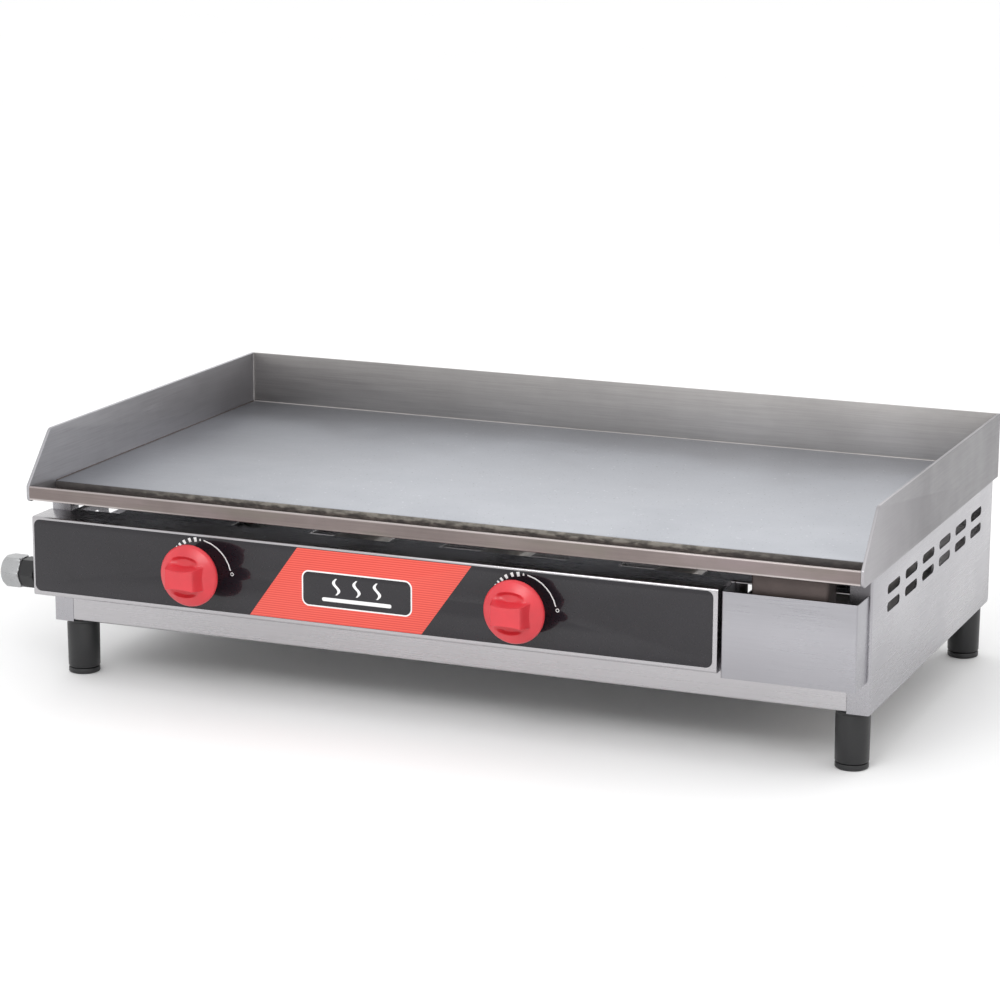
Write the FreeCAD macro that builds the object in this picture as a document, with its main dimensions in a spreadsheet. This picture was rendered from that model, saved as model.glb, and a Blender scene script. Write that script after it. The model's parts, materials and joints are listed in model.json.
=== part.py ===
"""Counter-top gas griddle with a flat steel plate, two burners and a grease drawer.

Stations are in millimetres: x from the middle of the griddle, y from the front of the
grease lip towards the back, z up from the surface that the feet stand on. Each sub-part's
Placement moves it from these stations to the frame whose origin is at the bottom centre
of the whole object's box. The front faces -Y.
"""
import FreeCAD, Part
import math
import os
import re

import Sketcher

DOC = FreeCAD.newDocument("flat_top_griddle")

DIMENSIONS = (
    # griddle top: plate, lip and splash guard
    ("griddle_width", 800, "outside width over the side splashes"),
    ("griddle_depth", 464, "lip front to back splash rear"),
    ("splash_top", 237, "top of the splash guard"),
    ("lip_top", 190, "top of the grease lip"),
    ("lip_low", 177, "lower edge of the lip and its gutter"),
    ("deck_low", 175, "lower edge of the splashes"),
    ("splash_gauge", 3, "splash and lip sheet"),
    ("slope_run", 42, "depth of the sloping front of a side splash"),
    ("splash_corner", 8, "rounded top front corner of a side splash"),
    ("toe_corner", 5, "rounded lower front corner of a side splash"),
    ("plate_front", 48, "front edge of the cooking plate"),
    ("plate_low", 176, "underside of the cooking plate"),
    ("plate_top", 185.5, "cooking surface"),
    ("plate_bevel", 1, "bevel on the plate's front edge"),
    ("gutter_gauge", 2, "floor of the grease gutter"),
    ("lip_edge", 0.8, "rounded upper edge of the lip"),
    ("chute_left", 298, "left side of the drip chute"),
    ("chute_right", 366, "right side of the drip chute"),
    ("chute_front", 12, "front of the drip chute"),
    ("chute_back", 39, "rear of the drip chute"),
    ("chute_low", 146, "outlet of the drip chute"),
    ("chute_gauge", 1.5, "drip chute sheet"),
    ("chute_corner", 2, "outside corner of the drip chute"),
    ("drain_margin", 3, "gutter drain hole inside the chute's outline"),
    ("plate_stud_length", 18, "length of a plate stud"),
    ("plate_stud_side", 385, "plate stud axis from the middle"),
    ("plate_stud_front", 130, "front plate studs"),
    ("plate_stud_back", 400, "rear plate studs"),
    # body
    ("body_half", 396.8, "half the width over the side panels"),
    ("body_front", 40, "front plane of the body"),
    ("body_back", 457, "rear plane of the body"),
    ("body_low", 53, "lower edge of the side panels"),
    ("rail_low", 54.5, "lower edge of the front and rear panels"),
    ("gauge", 1.2, "body sheet"),
    ("flange", 20, "width of the folded flanges"),
    ("seam", 0.2, "gap between neighbouring sheets"),
    ("panel_top", 160, "top of the front panel"),
    ("shelf_back", 75, "rear edge of the front panel's top shelf"),
    ("shelf_slot_front", 48, "front edge of the shelf openings"),
    ("shelf_slot_back", 68, "rear edge of the shelf openings"),
    ("first_slot_left", -372, "left end of the first shelf opening"),
    ("first_slot_length", 42, "length of the first shelf opening"),
    ("second_slot_left", -214, "left end of the second shelf opening"),
    ("second_slot_length", 31, "length of the second shelf opening"),
    ("third_slot_left", -135, "left end of the third shelf opening"),
    ("third_slot_length", 81, "length of the third shelf opening"),
    ("fourth_slot_left", -6, "left end of the fourth shelf opening"),
    ("fourth_slot_length", 122, "length of the fourth shelf opening"),
    ("fifth_slot_left", 164, "left end of the fifth shelf opening"),
    ("fifth_slot_length", 80, "length of the fifth shelf opening"),
    ("vent_first", 107.3, "centre of the first side vent"),
    ("vent_pitch", 57.5, "pitch of the side vents"),
    ("vent_length", 40, "length of a vent slot"),
    ("vent_height", 8.5, "height of a vent slot"),
    ("vent_upper", 152.7, "upper row of vents"),
    ("vent_lower", 136.8, "lower row of vents"),
    ("flue_pitch", 64, "pitch of the rear vents"),
    ("flue_length", 48, "length of a rear vent slot"),
    ("burner_gap", 4, "gap round a mixing tube in the front panel"),
    ("partition_left", 276.4, "wall between burners and drawer"),
    ("partition_top", 142, "top of the wall beside the drawer"),
    ("shield_front", 70, "front of the heat shield"),
    ("shield_low", 62, "lower edge of the heat shield"),
    ("shield_top", 150, "upper edge of the heat shield"),
    # control box
    ("box_left", -398, "left end of the control box"),
    ("box_right", 271, "right end of the control box"),
    ("box_front", 5.4, "front face of the control box"),
    ("box_low", 85.5, "underside of the control box"),
    ("box_top", 160.5, "top of the control box"),
    ("box_fold", 1.5, "outside bend of the control box"),
    ("pipe_gap", 0.25, "gap round the pipe in the control box's end"),
    ("label_left", -396, "left edge of the front film"),
    ("label_right", 267, "right edge of the front film"),
    ("label_low", 90, "lower edge of the front film"),
    ("label_top", 158, "upper edge of the front film"),
    ("label_gauge", 0.4, "thickness of the front film"),
    ("label_corner", 6, "corner radius of the front film"),
    # gas train
    ("knob_left", -222, "axis of the left valve"),
    ("knob_right", 94, "axis of the right valve"),
    ("knob_level", 127.5, "height of the valve axes"),
    ("pipe_depth", 22, "axis of the manifold pipe"),
    ("pipe_level", 102, "height of the manifold pipe"),
    ("pipe_radius", 10.65, "half-inch gas pipe"),
    ("pipe_bore", 8.05, "bore radius of the pipe"),
    ("pipe_start", -408, "left end of the pipe"),
    ("pipe_end", 120, "right end of the pipe"),
    ("stub_radius", 7, "stub that joins a valve to the pipe"),
    ("stub_fit", 0.02, "clearance of the stub in the pipe"),
    ("stub_inset", 6, "lower end of the stub above the pipe's axis"),
    ("stub_bite", 5, "upper end of the stub below the valve's axis"),
    ("spigot_length", 8, "end plug inside the pipe"),
    ("plug_head", 7, "length of the end plug's head"),
    ("plug_flats", 21, "end plug across flats"),
    ("clip_left", -310, "left pipe clip"),
    ("clip_right", -64, "right pipe clip"),
    ("clip_half", 8, "half the width of a pipe clip"),
    ("clip_gauge", 1.8, "pipe clip strip"),
    ("clip_web", 3, "half the height of the clip's web"),
    ("clip_tab", 14, "half the height of the clip's tab"),
    ("inlet_face", -436, "face of the inlet nut"),
    ("nut_seat", -416.5, "joint between inlet nut and coupling"),
    ("nut_flats", 28, "inlet nut across flats"),
    ("nut_crown", 4, "depth of the nut's crown"),
    ("nut_mouth", 12.8, "radius of the nut's face"),
    ("nut_round", 16.4, "radius over the nut's corners"),
    ("nut_way", 6, "gas way through the nut"),
    ("coupling_flats", 26, "coupling across flats"),
    ("coupling_ring", 3, "length of the round ring behind the coupling"),
    ("ring_step", 1, "ring's radius inside the coupling's flats"),
    ("thread_radius", 9.3, "minor radius of the inlet thread"),
    ("thread_depth", 15, "length of the inlet thread"),
    ("valve_radius", 9.5, "barrel of the valve"),
    ("valve_front", 8, "front of the valve barrel"),
    ("valve_back", 34, "rear of the valve barrel"),
    ("valve_bore", 6.05, "bore for the plug"),
    ("boss_half", 6, "half the width of the boss on the valve"),
    ("boss_lead", 2, "boss in front of the plug"),
    ("bore_end", 0.5, "valve bore behind the plug"),
    ("inlet_way", 2.4, "way from the pipe into the valve"),
    ("inlet_offset", 3, "way's axis behind the plug's front"),
    ("inlet_top", 4, "upper end of the way below the valve's axis"),
    ("outlet_way", 1.5, "way from the plug to the injector"),
    ("bonnet_gauge", 1.2, "thickness of the valve's bonnet"),
    ("plug_radius", 6, "rotating plug"),
    ("plug_front", 19, "front of the plug"),
    ("plug_back", 30, "rear of the plug"),
    ("stem_radius", 3, "valve stem"),
    ("stem_hole", 6, "hole for a stem in the control box's front"),
    ("stem_front", -19, "front end of the stem inside the knob"),
    ("collar_radius", 5.2, "stem collar"),
    ("collar_front", 8.2, "front of the stem collar"),
    ("collar_back", 9.8, "rear of the stem collar"),
    ("tang_width", 3, "square tang that drives the plug"),
    ("tang_back", 24, "end of the tang"),
    ("tang_gap", 0.1, "clearance round the tang"),
    ("socket_back", 28, "end of the plug's socket"),
    ("flat_level", 2.2, "flat on the stem from its axis"),
    ("flat_half", 4, "half the width of the cut that makes the flat"),
    ("fit", 0.05, "running clearance"),
    ("spring_wire", 0.4, "wire radius of the stem spring"),
    ("spring_radius", 4.5, "mean radius of the stem spring"),
    ("spring_pitch", 1.6, "pitch of the stem spring"),
    ("spring_gap", 0.15, "gap at each end of the stem spring"),
    ("injector_flats", 9, "injector across flats"),
    ("injector_tip", 47, "tip of the injector"),
    ("nose_length", 4, "cone at the injector's tip"),
    ("nose_base", 4, "radius where the cone starts"),
    ("nose_tip", 2, "radius at the injector's tip"),
    ("jet_radius", 0.8, "gas jet"),
    # knobs
    ("knob_radius", 28.5, "rim of a knob"),
    ("knob_face", -41, "front of the grip"),
    ("knob_rim", -21, "front of the rim"),
    ("knob_crown", -33, "top of the dome"),
    ("knob_back", 1.5, "rear of the hub"),
    ("hub_radius", 12, "hub of a knob"),
    ("hub_root", 4, "front of the hub behind the rim's front"),
    ("skirt_depth", 6, "depth of the skirt behind the rim"),
    ("skirt_draft", 3, "radius lost over the skirt"),
    ("grip_half", 14, "half the length of the grip face"),
    ("grip_foot", 25, "half the length of the grip where it meets the dome"),
    ("grip_height", 20, "height of the grip"),
    ("grip_root", 1, "grip's foot in front of the rim"),
    ("grip_shoulder", 6, "depth of the grip's shoulder behind its face"),
    ("grip_spread", 3, "grip's shoulder beyond its face"),
    ("grip_edge", 3, "rounded edges of the grip's face"),
    ("scoop_sink", 2, "scoop's middle behind the dome's top"),
    ("scoop_width", 14, "half the width of a finger scoop"),
    ("scoop_depth", 8, "depth radius of a finger scoop"),
    ("scoop_height", 7, "height radius of a finger scoop"),
    # burners
    ("tube_radius", 14, "burner tube"),
    ("mixer_radius", 13, "mixing tube"),
    ("tube_gauge", 1.5, "burner wall"),
    ("leg_offset", 85, "leg axis from the burner axis"),
    ("cross_depth", 102, "axis of the burner's cross tube"),
    ("leg_back", 400, "rear end of the burner legs"),
    ("bend_radius", 28, "bend of the burner tube"),
    ("mixer_mouth", 44, "mouth of the mixing tube"),
    ("port_radius", 1.5, "flame port"),
    ("port_first", 138, "first flame port"),
    ("port_span", 252, "first to last flame port"),
    ("port_count", 22, "flame ports on a leg"),
    ("shutter_front", 46, "front of the air shutter"),
    ("shutter_back", 64, "rear of the air shutter"),
    ("shutter_gap", 0.3, "shutter clearance on the mixing tube"),
    ("shutter_gauge", 1.2, "wall of the air shutter"),
    ("window_width", 12, "air window"),
    ("window_inset", 4, "air window from the shutter's ends"),
    ("window_reach", 3, "shutter's window beyond the mixing tube"),
    ("lug_start", 8, "inner end of the shutter's lug"),
    ("lug_end", 20, "outer end of the shutter's lug"),
    ("lug_front", 53, "front of the shutter's lug"),
    ("lug_back", 57, "rear of the shutter's lug"),
    ("lug_half", 2, "half the height of the shutter's lug"),
    ("rest_front", 140, "front burner rest"),
    ("rest_back", 384, "rear burner rest"),
    ("rest_low", 92, "lower edge of a burner rest"),
    ("rest_top", 108, "top of a burner rest"),
    ("rest_flange", 14, "depth of a burner rest's top"),
    ("saddle_half", 8, "half the width of a saddle"),
    ("saddle_front", 3, "front of a saddle behind the rest's front"),
    ("saddle_back", 11, "rear of a saddle behind the rest's front"),
    ("saddle_gap", 0.1, "saddle below the burner tube"),
    # grease drawer
    ("drawer_left", 274.5, "left edge of the drawer front"),
    ("drawer_right", 394, "right edge of the drawer front"),
    ("drawer_low", 82.5, "lower edge of the drawer front"),
    ("drawer_top", 159, "upper edge of the drawer front"),
    ("drawer_front", 5, "face of the drawer front"),
    ("drawer_gap", 0.5, "drawer front clear of the body"),
    ("mouth_left", 279, "left edge of the drawer opening"),
    ("mouth_low", 84, "lower edge of the drawer opening"),
    ("mouth_top", 158, "upper edge of the drawer opening"),
    ("tray_left", 283, "left side of the tray"),
    ("tray_right", 373, "right side of the tray"),
    ("tray_low", 88, "underside of the tray"),
    ("tray_top", 138, "rim of the tray"),
    ("tray_back", 330, "rear of the tray"),
    ("tray_gauge", 1, "tray sheet"),
    ("tray_corner", 2, "outside corner of the tray"),
    ("runner_offset", 3, "runner's outer side from the tray"),
    ("runner_gap", 0.3, "tray above the runners"),
    ("runner_width", 15, "ledge of a runner"),
    ("runner_height", 18, "leg of a runner"),
    # feet and fasteners
    ("foot_side", 377.5, "foot axis from the middle"),
    ("foot_front", 59.5, "axis of the front feet"),
    ("foot_back", 442, "axis of the rear feet"),
    ("foot_radius", 15.5, "top of a foot"),
    ("foot_taper", 15, "bottom of a foot"),
    ("pad_top", 5.5, "top of the levelling pad"),
    ("pad_gap", 0.3, "gap between a levelling pad and its foot"),
    ("pad_inset", 0.2, "levelling pad inside the foot's outline"),
    ("bore_roof", 12, "solid top of a foot above its bore"),
    ("screw_end", 16, "end of the levelling screw below the foot's top"),
    ("stud_tail", 4, "foot stud above its nut"),
    ("stud_radius", 4, "M8 stud"),
    ("stud_hole", 4.5, "clearance hole for a stud"),
    ("nut_width", 13, "M8 nut across flats"),
    ("nut_height", 6.5, "M8 nut"),
    ("gusset_gauge", 3, "corner gusset"),
    ("gusset_size", 44, "corner gusset"),
    ("screw_radius", 2, "M4 screw"),
    ("screw_length", 12, "M4 screw below its head"),
    ("screw_head", 3.6, "M4 pan head"),
    ("screw_head_taper", 0.8, "radius lost over the pan head"),
    ("screw_head_height", 2.2, "height of the pan head"),
    ("screw_slot", 4, "length of the screw's slot"),
    ("screw_slot_gauge", 0.8, "width of the screw's slot"),
    ("screw_slot_depth", 1.2, "depth of the screw's slot"),
    ("screw_first", 22, "lowest panel screw above the body's lower edge"),
    ("screw_pitch", 40, "pitch of the panel screws"),
    # frame
    ("mid_x", 18, "griddle middle from the origin"),
    ("lip_y", -211.5, "lip front from the origin"),
)

# the openings in the front panel's shelf, from left to right
SHELF_SLOTS = ("first", "second", "third", "fourth", "fifth")
SIDE_VENTS = 6
REAR_VENTS = 9

ALONG = {
    "x": FreeCAD.Rotation(FreeCAD.Vector(0, 1, 0), 90),
    "y": FreeCAD.Rotation(FreeCAD.Vector(1, 0, 0), -90),
    "z": FreeCAD.Rotation(),
}
SUB_PARTS = []


# ---------------------------------------------------------------- sheet and expressions

def make_sheet():
    """The spreadsheet of driving dimensions: meaning, value and alias."""
    sheet = DOC.addObject("Spreadsheet::Sheet", "Dimensions")
    for row, (alias, number, meaning) in enumerate(DIMENSIONS, start=1):
        sheet.set(f"A{row}", meaning)
        sheet.set(f"B{row}", str(number))
        sheet.setAlias(f"B{row}", alias)
    DOC.recompute()
    return sheet


SHEET = make_sheet()


def on_sheet(expression):
    """The expression with each alias named in full."""
    return re.sub(r"[a-z][a-z_]+", r"Dimensions.\g<0>", str(expression))


def bind(thing, name, expression):
    thing.setExpression(name, on_sheet(expression))


def number(expression):
    """What an expression comes to now, for choosing edges and first guesses."""
    return float(SHEET.evalExpression(on_sheet(expression)))


def about(middle, half):
    """The stations an equal way to each side of a middle."""
    return (f"({middle}) - ({half})", f"({middle}) + ({half})")


# ---------------------------------------------------------------- solids from primitives

def box(name, x, y, z):
    """A block between two stations on each axis."""
    block = DOC.addObject("Part::Box", name)
    for side, axis, (low, high) in (("Length", "x", x), ("Width", "y", y), ("Height", "z", z)):
        bind(block, side, f"({high}) - ({low})")
        bind(block, f"Placement.Base.{axis}", low)
    return block


def place_along(solid, axis, span, centre):
    """Lay a round solid along an axis; centre holds the other two stations in x, y, z order."""
    solid.Placement.Rotation = ALONG[axis]
    others = [name for name in "xyz" if name != axis]
    bind(solid, "Height", f"({span[1]}) - ({span[0]})")
    bind(solid, f"Placement.Base.{axis}", span[0])
    for name, station in zip(others, centre):
        bind(solid, f"Placement.Base.{name}", station)
    return solid


def rod(name, axis, span, centre, radius):
    solid = DOC.addObject("Part::Cylinder", name)
    bind(solid, "Radius", radius)
    return place_along(solid, axis, span, centre)


def cone(name, axis, span, centre, first_radius, last_radius):
    solid = DOC.addObject("Part::Cone", name)
    bind(solid, "Radius1", first_radius)
    bind(solid, "Radius2", last_radius)
    return place_along(solid, axis, span, centre)


def hexagon(name, axis, span, centre, flats):
    """A hexagonal bar; along X its flats are at the top and bottom."""
    solid = DOC.addObject("Part::Prism", name)
    solid.Polygon = 6
    bind(solid, "Circumradius", f"({flats}) / (3 ^ 0.5)")
    place_along(solid, axis, span, centre)
    if axis == "x":
        solid.Placement.Rotation = ALONG["x"] * FreeCAD.Rotation(FreeCAD.Vector(0, 0, 1), 30)
    return solid


def fuse(name, *shapes):
    joined = DOC.addObject("Part::MultiFuse", name)
    joined.Shapes = list(shapes)
    joined.Refine = True
    return joined


def group(name, shapes):
    held = DOC.addObject("Part::Compound", name)
    held.Links = list(shapes)
    return held


def cut(name, base, *tools):
    result = DOC.addObject("Part::Cut", name)
    result.Base = base
    result.Tool = tools[0] if len(tools) == 1 else group(f"{name}_tools", tools)
    return result


def common(name, first, second):
    result = DOC.addObject("Part::Common", name)
    result.Base = first
    result.Tool = second
    return result


# ---------------------------------------------------------------- bodies from sketches

def new_body(name):
    return DOC.addObject("PartDesign::Body", name)


def origin_feature(body, role):
    return next(item for item in body.Origin.OriginFeatures if item.Role == role)


def sketch_on(body, name, plane, offset):
    """A sketch on one of the body's planes, moved along the plane's normal."""
    sketch = body.newObject("Sketcher::SketchObject", name)
    sketch.AttachmentSupport = [(origin_feature(body, f"{plane}_Plane"), "")]
    sketch.MapMode = "FlatFace"
    bind(sketch, "AttachmentOffset.Base.z", offset)
    return sketch


def size(sketch, where, expression, label):
    """A dimension in a sketch, bound to an expression."""
    index = sketch.addConstraint(Sketcher.Constraint(*where, number(expression)))
    sketch.renameConstraint(index, label)
    bind(sketch, f"Constraints.{label}", expression)


def pin_point(sketch, element, end, corner, label):
    """Hold one point of a sketch at a pair of expressions."""
    for kind, station, letter in zip(("DistanceX", "DistanceY"), corner, "xy"):
        size(sketch, (kind, -1, 1, element, end), station, f"{label}_{letter}")


def add_outline(sketch, corners, tag="corner"):
    """A closed polygon through the corners, each fixed by its own pair of expressions."""
    first = sketch.GeometryCount
    points = [FreeCAD.Vector(number(x), number(y), 0) for x, y in corners]
    count = len(points)
    for index in range(count):
        sketch.addGeometry(Part.LineSegment(points[index], points[(index + 1) % count]), False)
    for index in range(count):
        here = first + index
        following = first + (index + 1) % count
        sketch.addConstraint(Sketcher.Constraint("Coincident", here, 2, following, 1))
    for index, corner in enumerate(corners):
        pin_point(sketch, first + index, 1, corner, f"{tag}_{index}")


def add_circle(sketch, centre, radius, tag):
    place = FreeCAD.Vector(number(centre[0]), number(centre[1]), 0)
    circle = Part.Circle(place, FreeCAD.Vector(0, 0, 1), number(radius))
    index = sketch.addGeometry(circle, False)
    pin_point(sketch, index, 3, centre, tag)
    size(sketch, ("Radius", index), radius, f"{tag}_radius")


def add_slot(sketch, centre, length, height, tag):
    """A slot with round ends, centred on a point and lying along the sketch's first axis."""
    x = number(centre[0])
    y = number(centre[1])
    radius = number(height) / 2
    reach = number(length) / 2 - radius
    up = FreeCAD.Vector(0, 0, 1)
    left = FreeCAD.Vector(x - reach, y, 0)
    right = FreeCAD.Vector(x + reach, y, 0)
    rise = FreeCAD.Vector(0, radius, 0)
    quarter = math.pi / 2
    first = sketch.GeometryCount
    sketch.addGeometry(Part.ArcOfCircle(Part.Circle(left, up, radius), quarter, 3 * quarter), False)
    sketch.addGeometry(Part.LineSegment(left - rise, right - rise), False)
    sketch.addGeometry(Part.ArcOfCircle(Part.Circle(right, up, radius), -quarter, quarter), False)
    sketch.addGeometry(Part.LineSegment(right + rise, left + rise), False)
    for index in range(4):
        following = first + (index + 1) % 4
        sketch.addConstraint(Sketcher.Constraint("Tangent", first + index, 2, following, 1))
    sketch.addConstraint(Sketcher.Constraint("Horizontal", first + 1))
    left_end, right_end = about(centre[0], f"({length} - {height}) / 2")
    pin_point(sketch, first, 3, (left_end, centre[1]), f"{tag}_left")
    size(sketch, ("DistanceX", -1, 1, first + 2, 3), right_end, f"{tag}_right")
    size(sketch, ("Radius", first), f"{height} / 2", f"{tag}_radius")


def extrude(body, name, plane, span, draw, removes=False):
    """Pad or pocket what draw puts in a sketch, from span's first station to its last."""
    low, high = span
    offset = f"-({high})" if plane == "XZ" else low
    sketch = sketch_on(body, f"{name}_sketch", plane, offset)
    draw(sketch)
    kind = "PartDesign::Pocket" if removes else "PartDesign::Pad"
    feature = body.newObject(kind, name)
    feature.Profile = sketch
    feature.Reversed = removes
    bind(feature, "Length", f"({high}) - ({low})")
    DOC.recompute()
    return feature


def rectangle(x, y):
    """The four corners between two stations each way."""
    return [(x[0], y[0]), (x[1], y[0]), (x[1], y[1]), (x[0], y[1])]


def block(body, name, x, y, z, removes=False):
    """A rectangular pad or pocket between two stations on each axis."""
    return extrude(body, name, "XY", z, lambda sketch: add_outline(sketch, rectangle(x, y)), removes)


def edges_along(shape, axis, spots):
    """Names of the straight edges that run along an axis through the given spots."""
    others = [index for index, name in enumerate("xyz") if name != axis]
    names = []
    for index, edge in enumerate(shape.Edges, start=1):
        if len(edge.Vertexes) != 2:
            continue
        ends = [vertex.Point for vertex in edge.Vertexes]
        if abs((ends[1] - ends[0])["xyz".index(axis)]) < 0.5 * edge.Length:
            continue
        for spot in spots:
            near = all(abs(end[k] - s) < 0.05 for end in ends for k, s in zip(others, spot))
            if near:
                names.append(f"Edge{index}")
    return names


def dress(body, kind, name, axis, spots, prop, size):
    """Fillet or chamfer the edges that run along an axis through the given spots."""
    base = body.Tip
    numbers = [tuple(number(station) for station in spot) for spot in spots]
    names = edges_along(base.Shape, axis, numbers)
    if len(names) < len(spots):
        raise RuntimeError(f"{body.Label}: {name} found {len(names)} edges for {len(spots)} spots")
    feature = body.newObject(kind, name)
    feature.Base = (base, names)
    bind(feature, prop, size)
    DOC.recompute()
    return feature


def round_off(body, name, axis, spots, radius):
    return dress(body, "PartDesign::Fillet", name, axis, spots, "Radius", radius)


# ---------------------------------------------------------------- sub-parts

def keep(label, result):
    """Name a sub-part and place it in the frame at the object's bottom centre."""
    result.Label = label
    bind(result, "Placement.Base.x", "mid_x")
    bind(result, "Placement.Base.y", "lip_y")
    SUB_PARTS.append(result)
    return result


def keep_group(label, shapes):
    return keep(label, group(f"{label}_set", shapes))


def keep_mirrored(label, source):
    """The same piece on the other side of the griddle's middle."""
    twin = DOC.addObject("Part::Mirroring", f"{label}_twin")
    twin.Source = source
    twin.Normal = FreeCAD.Vector(1, 0, 0)
    bind(twin, "Base.x", "mid_x")
    twin.Label = label
    SUB_PARTS.append(twin)
    return twin


# ---------------------------------------------------------------- griddle top

def make_plate():
    body = new_body("plate_body")
    half = "griddle_width / 2 - splash_gauge"
    depth = ("plate_front", "griddle_depth - splash_gauge")
    block(body, "slab", (f"-({half})", half), depth, ("plate_low", "plate_top"))
    spots = [("plate_front", "plate_top")]
    dress(body, "PartDesign::Chamfer", "front_bevel", "x", spots, "Size", "plate_bevel")
    keep("griddle_plate", body)


def make_splashes():
    """Side splashes slope down to the lip at the front; the back splash stands between them."""
    body = new_body("left_splash_body")
    corners = [
        ("0", "deck_low"),
        ("griddle_depth", "deck_low"),
        ("griddle_depth", "splash_top"),
        ("slope_run", "splash_top"),
        ("0", "lip_top"),
    ]
    span = ("-griddle_width / 2", "-griddle_width / 2 + splash_gauge")
    extrude(body, "sheet", "YZ", span, lambda sketch: add_outline(sketch, corners))
    round_off(body, "top_corner", "x", [("slope_run", "splash_top")], "splash_corner")
    round_off(body, "toe_corner", "x", [("0", "deck_low")], "toe_corner")
    left = keep("left_splash", body)
    keep_mirrored("right_splash", left)
    half = "griddle_width / 2 - splash_gauge"
    depth = ("griddle_depth - splash_gauge", "griddle_depth")
    back = box("back_sheet", (f"-({half})", half), depth, ("deck_low", "splash_top"))
    keep_group("back_splash", [back])


def make_gutter():
    """The lip and the gutter floor are one folded strip; a hole over the chute drains it."""
    body = new_body("gutter_body")
    half = "griddle_width / 2 - splash_gauge"
    floor_top = "lip_low + gutter_gauge"
    corners = [
        ("0", "lip_low"),
        ("plate_front", "lip_low"),
        ("plate_front", floor_top),
        ("splash_gauge", floor_top),
        ("splash_gauge", "lip_top"),
        ("0", "lip_top"),
    ]
    extrude(body, "strip", "YZ", (f"-({half})", half), lambda sketch: add_outline(sketch, corners))
    drain_x = ("chute_left + drain_margin", "chute_right - drain_margin")
    drain_y = ("chute_front + drain_margin", "chute_back - drain_margin")
    block(body, "drain", drain_x, drain_y, ("lip_low", floor_top), removes=True)
    round_off(body, "lip_round", "x", [("0", "lip_top")], "lip_edge")
    keep("grease_gutter", body)


def make_chute():
    """A square duct that drops grease from the gutter into the drawer."""
    body = new_body("chute_body")
    rise = ("chute_low", "lip_low")
    block(body, "duct", ("chute_left", "chute_right"), ("chute_front", "chute_back"), rise)
    inner_x = ("chute_left + chute_gauge", "chute_right - chute_gauge")
    inner_y = ("chute_front + chute_gauge", "chute_back - chute_gauge")
    block(body, "passage", inner_x, inner_y, rise, removes=True)
    corners = [(x, y) for x in ("chute_left", "chute_right") for y in ("chute_front", "chute_back")]
    round_off(body, "folds", "z", corners, "chute_corner")
    keep("drip_chute", body)


def plate_stud_places():
    depths = ("plate_stud_front", "plate_stud_back")
    return [(f"{side} * plate_stud_side", depth) for side in (-1, 1) for depth in depths]


def make_plate_studs():
    studs = []
    nuts = []
    for index, place in enumerate(plate_stud_places()):
        stud_z = ("plate_low - plate_stud_length", "plate_low")
        studs.append(rod(f"plate_stud_{index}", "z", stud_z, place, "stud_radius"))
        top = "plate_low - gauge"
        nut = hexagon(f"plate_nut_blank_{index}", "z", (f"{top} - nut_height", top), place, "nut_width")
        hole = rod(f"plate_nut_hole_{index}", "z", (f"{top} - nut_height", top), place, "stud_radius + fit")
        nuts.append(cut(f"plate_nut_{index}", nut, hole))
    keep_group("plate_studs", studs)
    keep_group("plate_nuts", nuts)


# ---------------------------------------------------------------- body panels

def make_side_panels():
    """A folded pan: outer sheet, a flange all round and two rows of vents."""
    body = new_body("left_panel_body")
    inner = "-body_half + flange"
    back = "body_back - gauge"
    block(body, "pan", ("-body_half", inner), ("body_front", back), ("body_low", "plate_low"))
    hollow_x = ("-body_half + gauge", inner)
    hollow_y = ("body_front + gauge", f"{back} - gauge")
    block(body, "hollow", hollow_x, hollow_y, ("body_low + gauge", "plate_low - gauge"), removes=True)

    def draw_vents(sketch):
        for row, level in enumerate(("vent_upper", "vent_lower")):
            for column in range(SIDE_VENTS):
                centre = (f"vent_first + {column} * vent_pitch", level)
                add_slot(sketch, centre, "vent_length", "vent_height", f"vent_{row}_{column}")

    extrude(body, "vents", "YZ", ("-body_half", "-body_half + gauge"), draw_vents, removes=True)

    def draw_foot_holes(sketch):
        for index, depth in enumerate(("foot_front", "foot_back")):
            add_circle(sketch, ("-foot_side", depth), "stud_hole", f"foot_{index}")

    def draw_stud_holes(sketch):
        for index, depth in enumerate(("plate_stud_front", "plate_stud_back")):
            add_circle(sketch, ("-plate_stud_side", depth), "stud_hole", f"stud_{index}")

    extrude(body, "foot_holes", "XY", ("body_low", "body_low + gauge"), draw_foot_holes, removes=True)
    extrude(body, "stud_holes", "XY", ("plate_low - gauge", "plate_low"), draw_stud_holes, removes=True)

    def draw_screw_holes(sketch):
        for index, level in enumerate(screw_levels()):
            centre = ("-(body_half - flange / 2)", level)
            add_circle(sketch, centre, "screw_radius + fit", f"screw_{index}")

    extrude(body, "screw_holes", "XZ", (f"{back} - gauge", back), draw_screw_holes, removes=True)
    left = keep("left_side_panel", body)
    keep_mirrored("right_side_panel", left)


def screw_levels():
    return [f"body_low + screw_first + {step} * screw_pitch" for step in range(3)]


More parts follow.
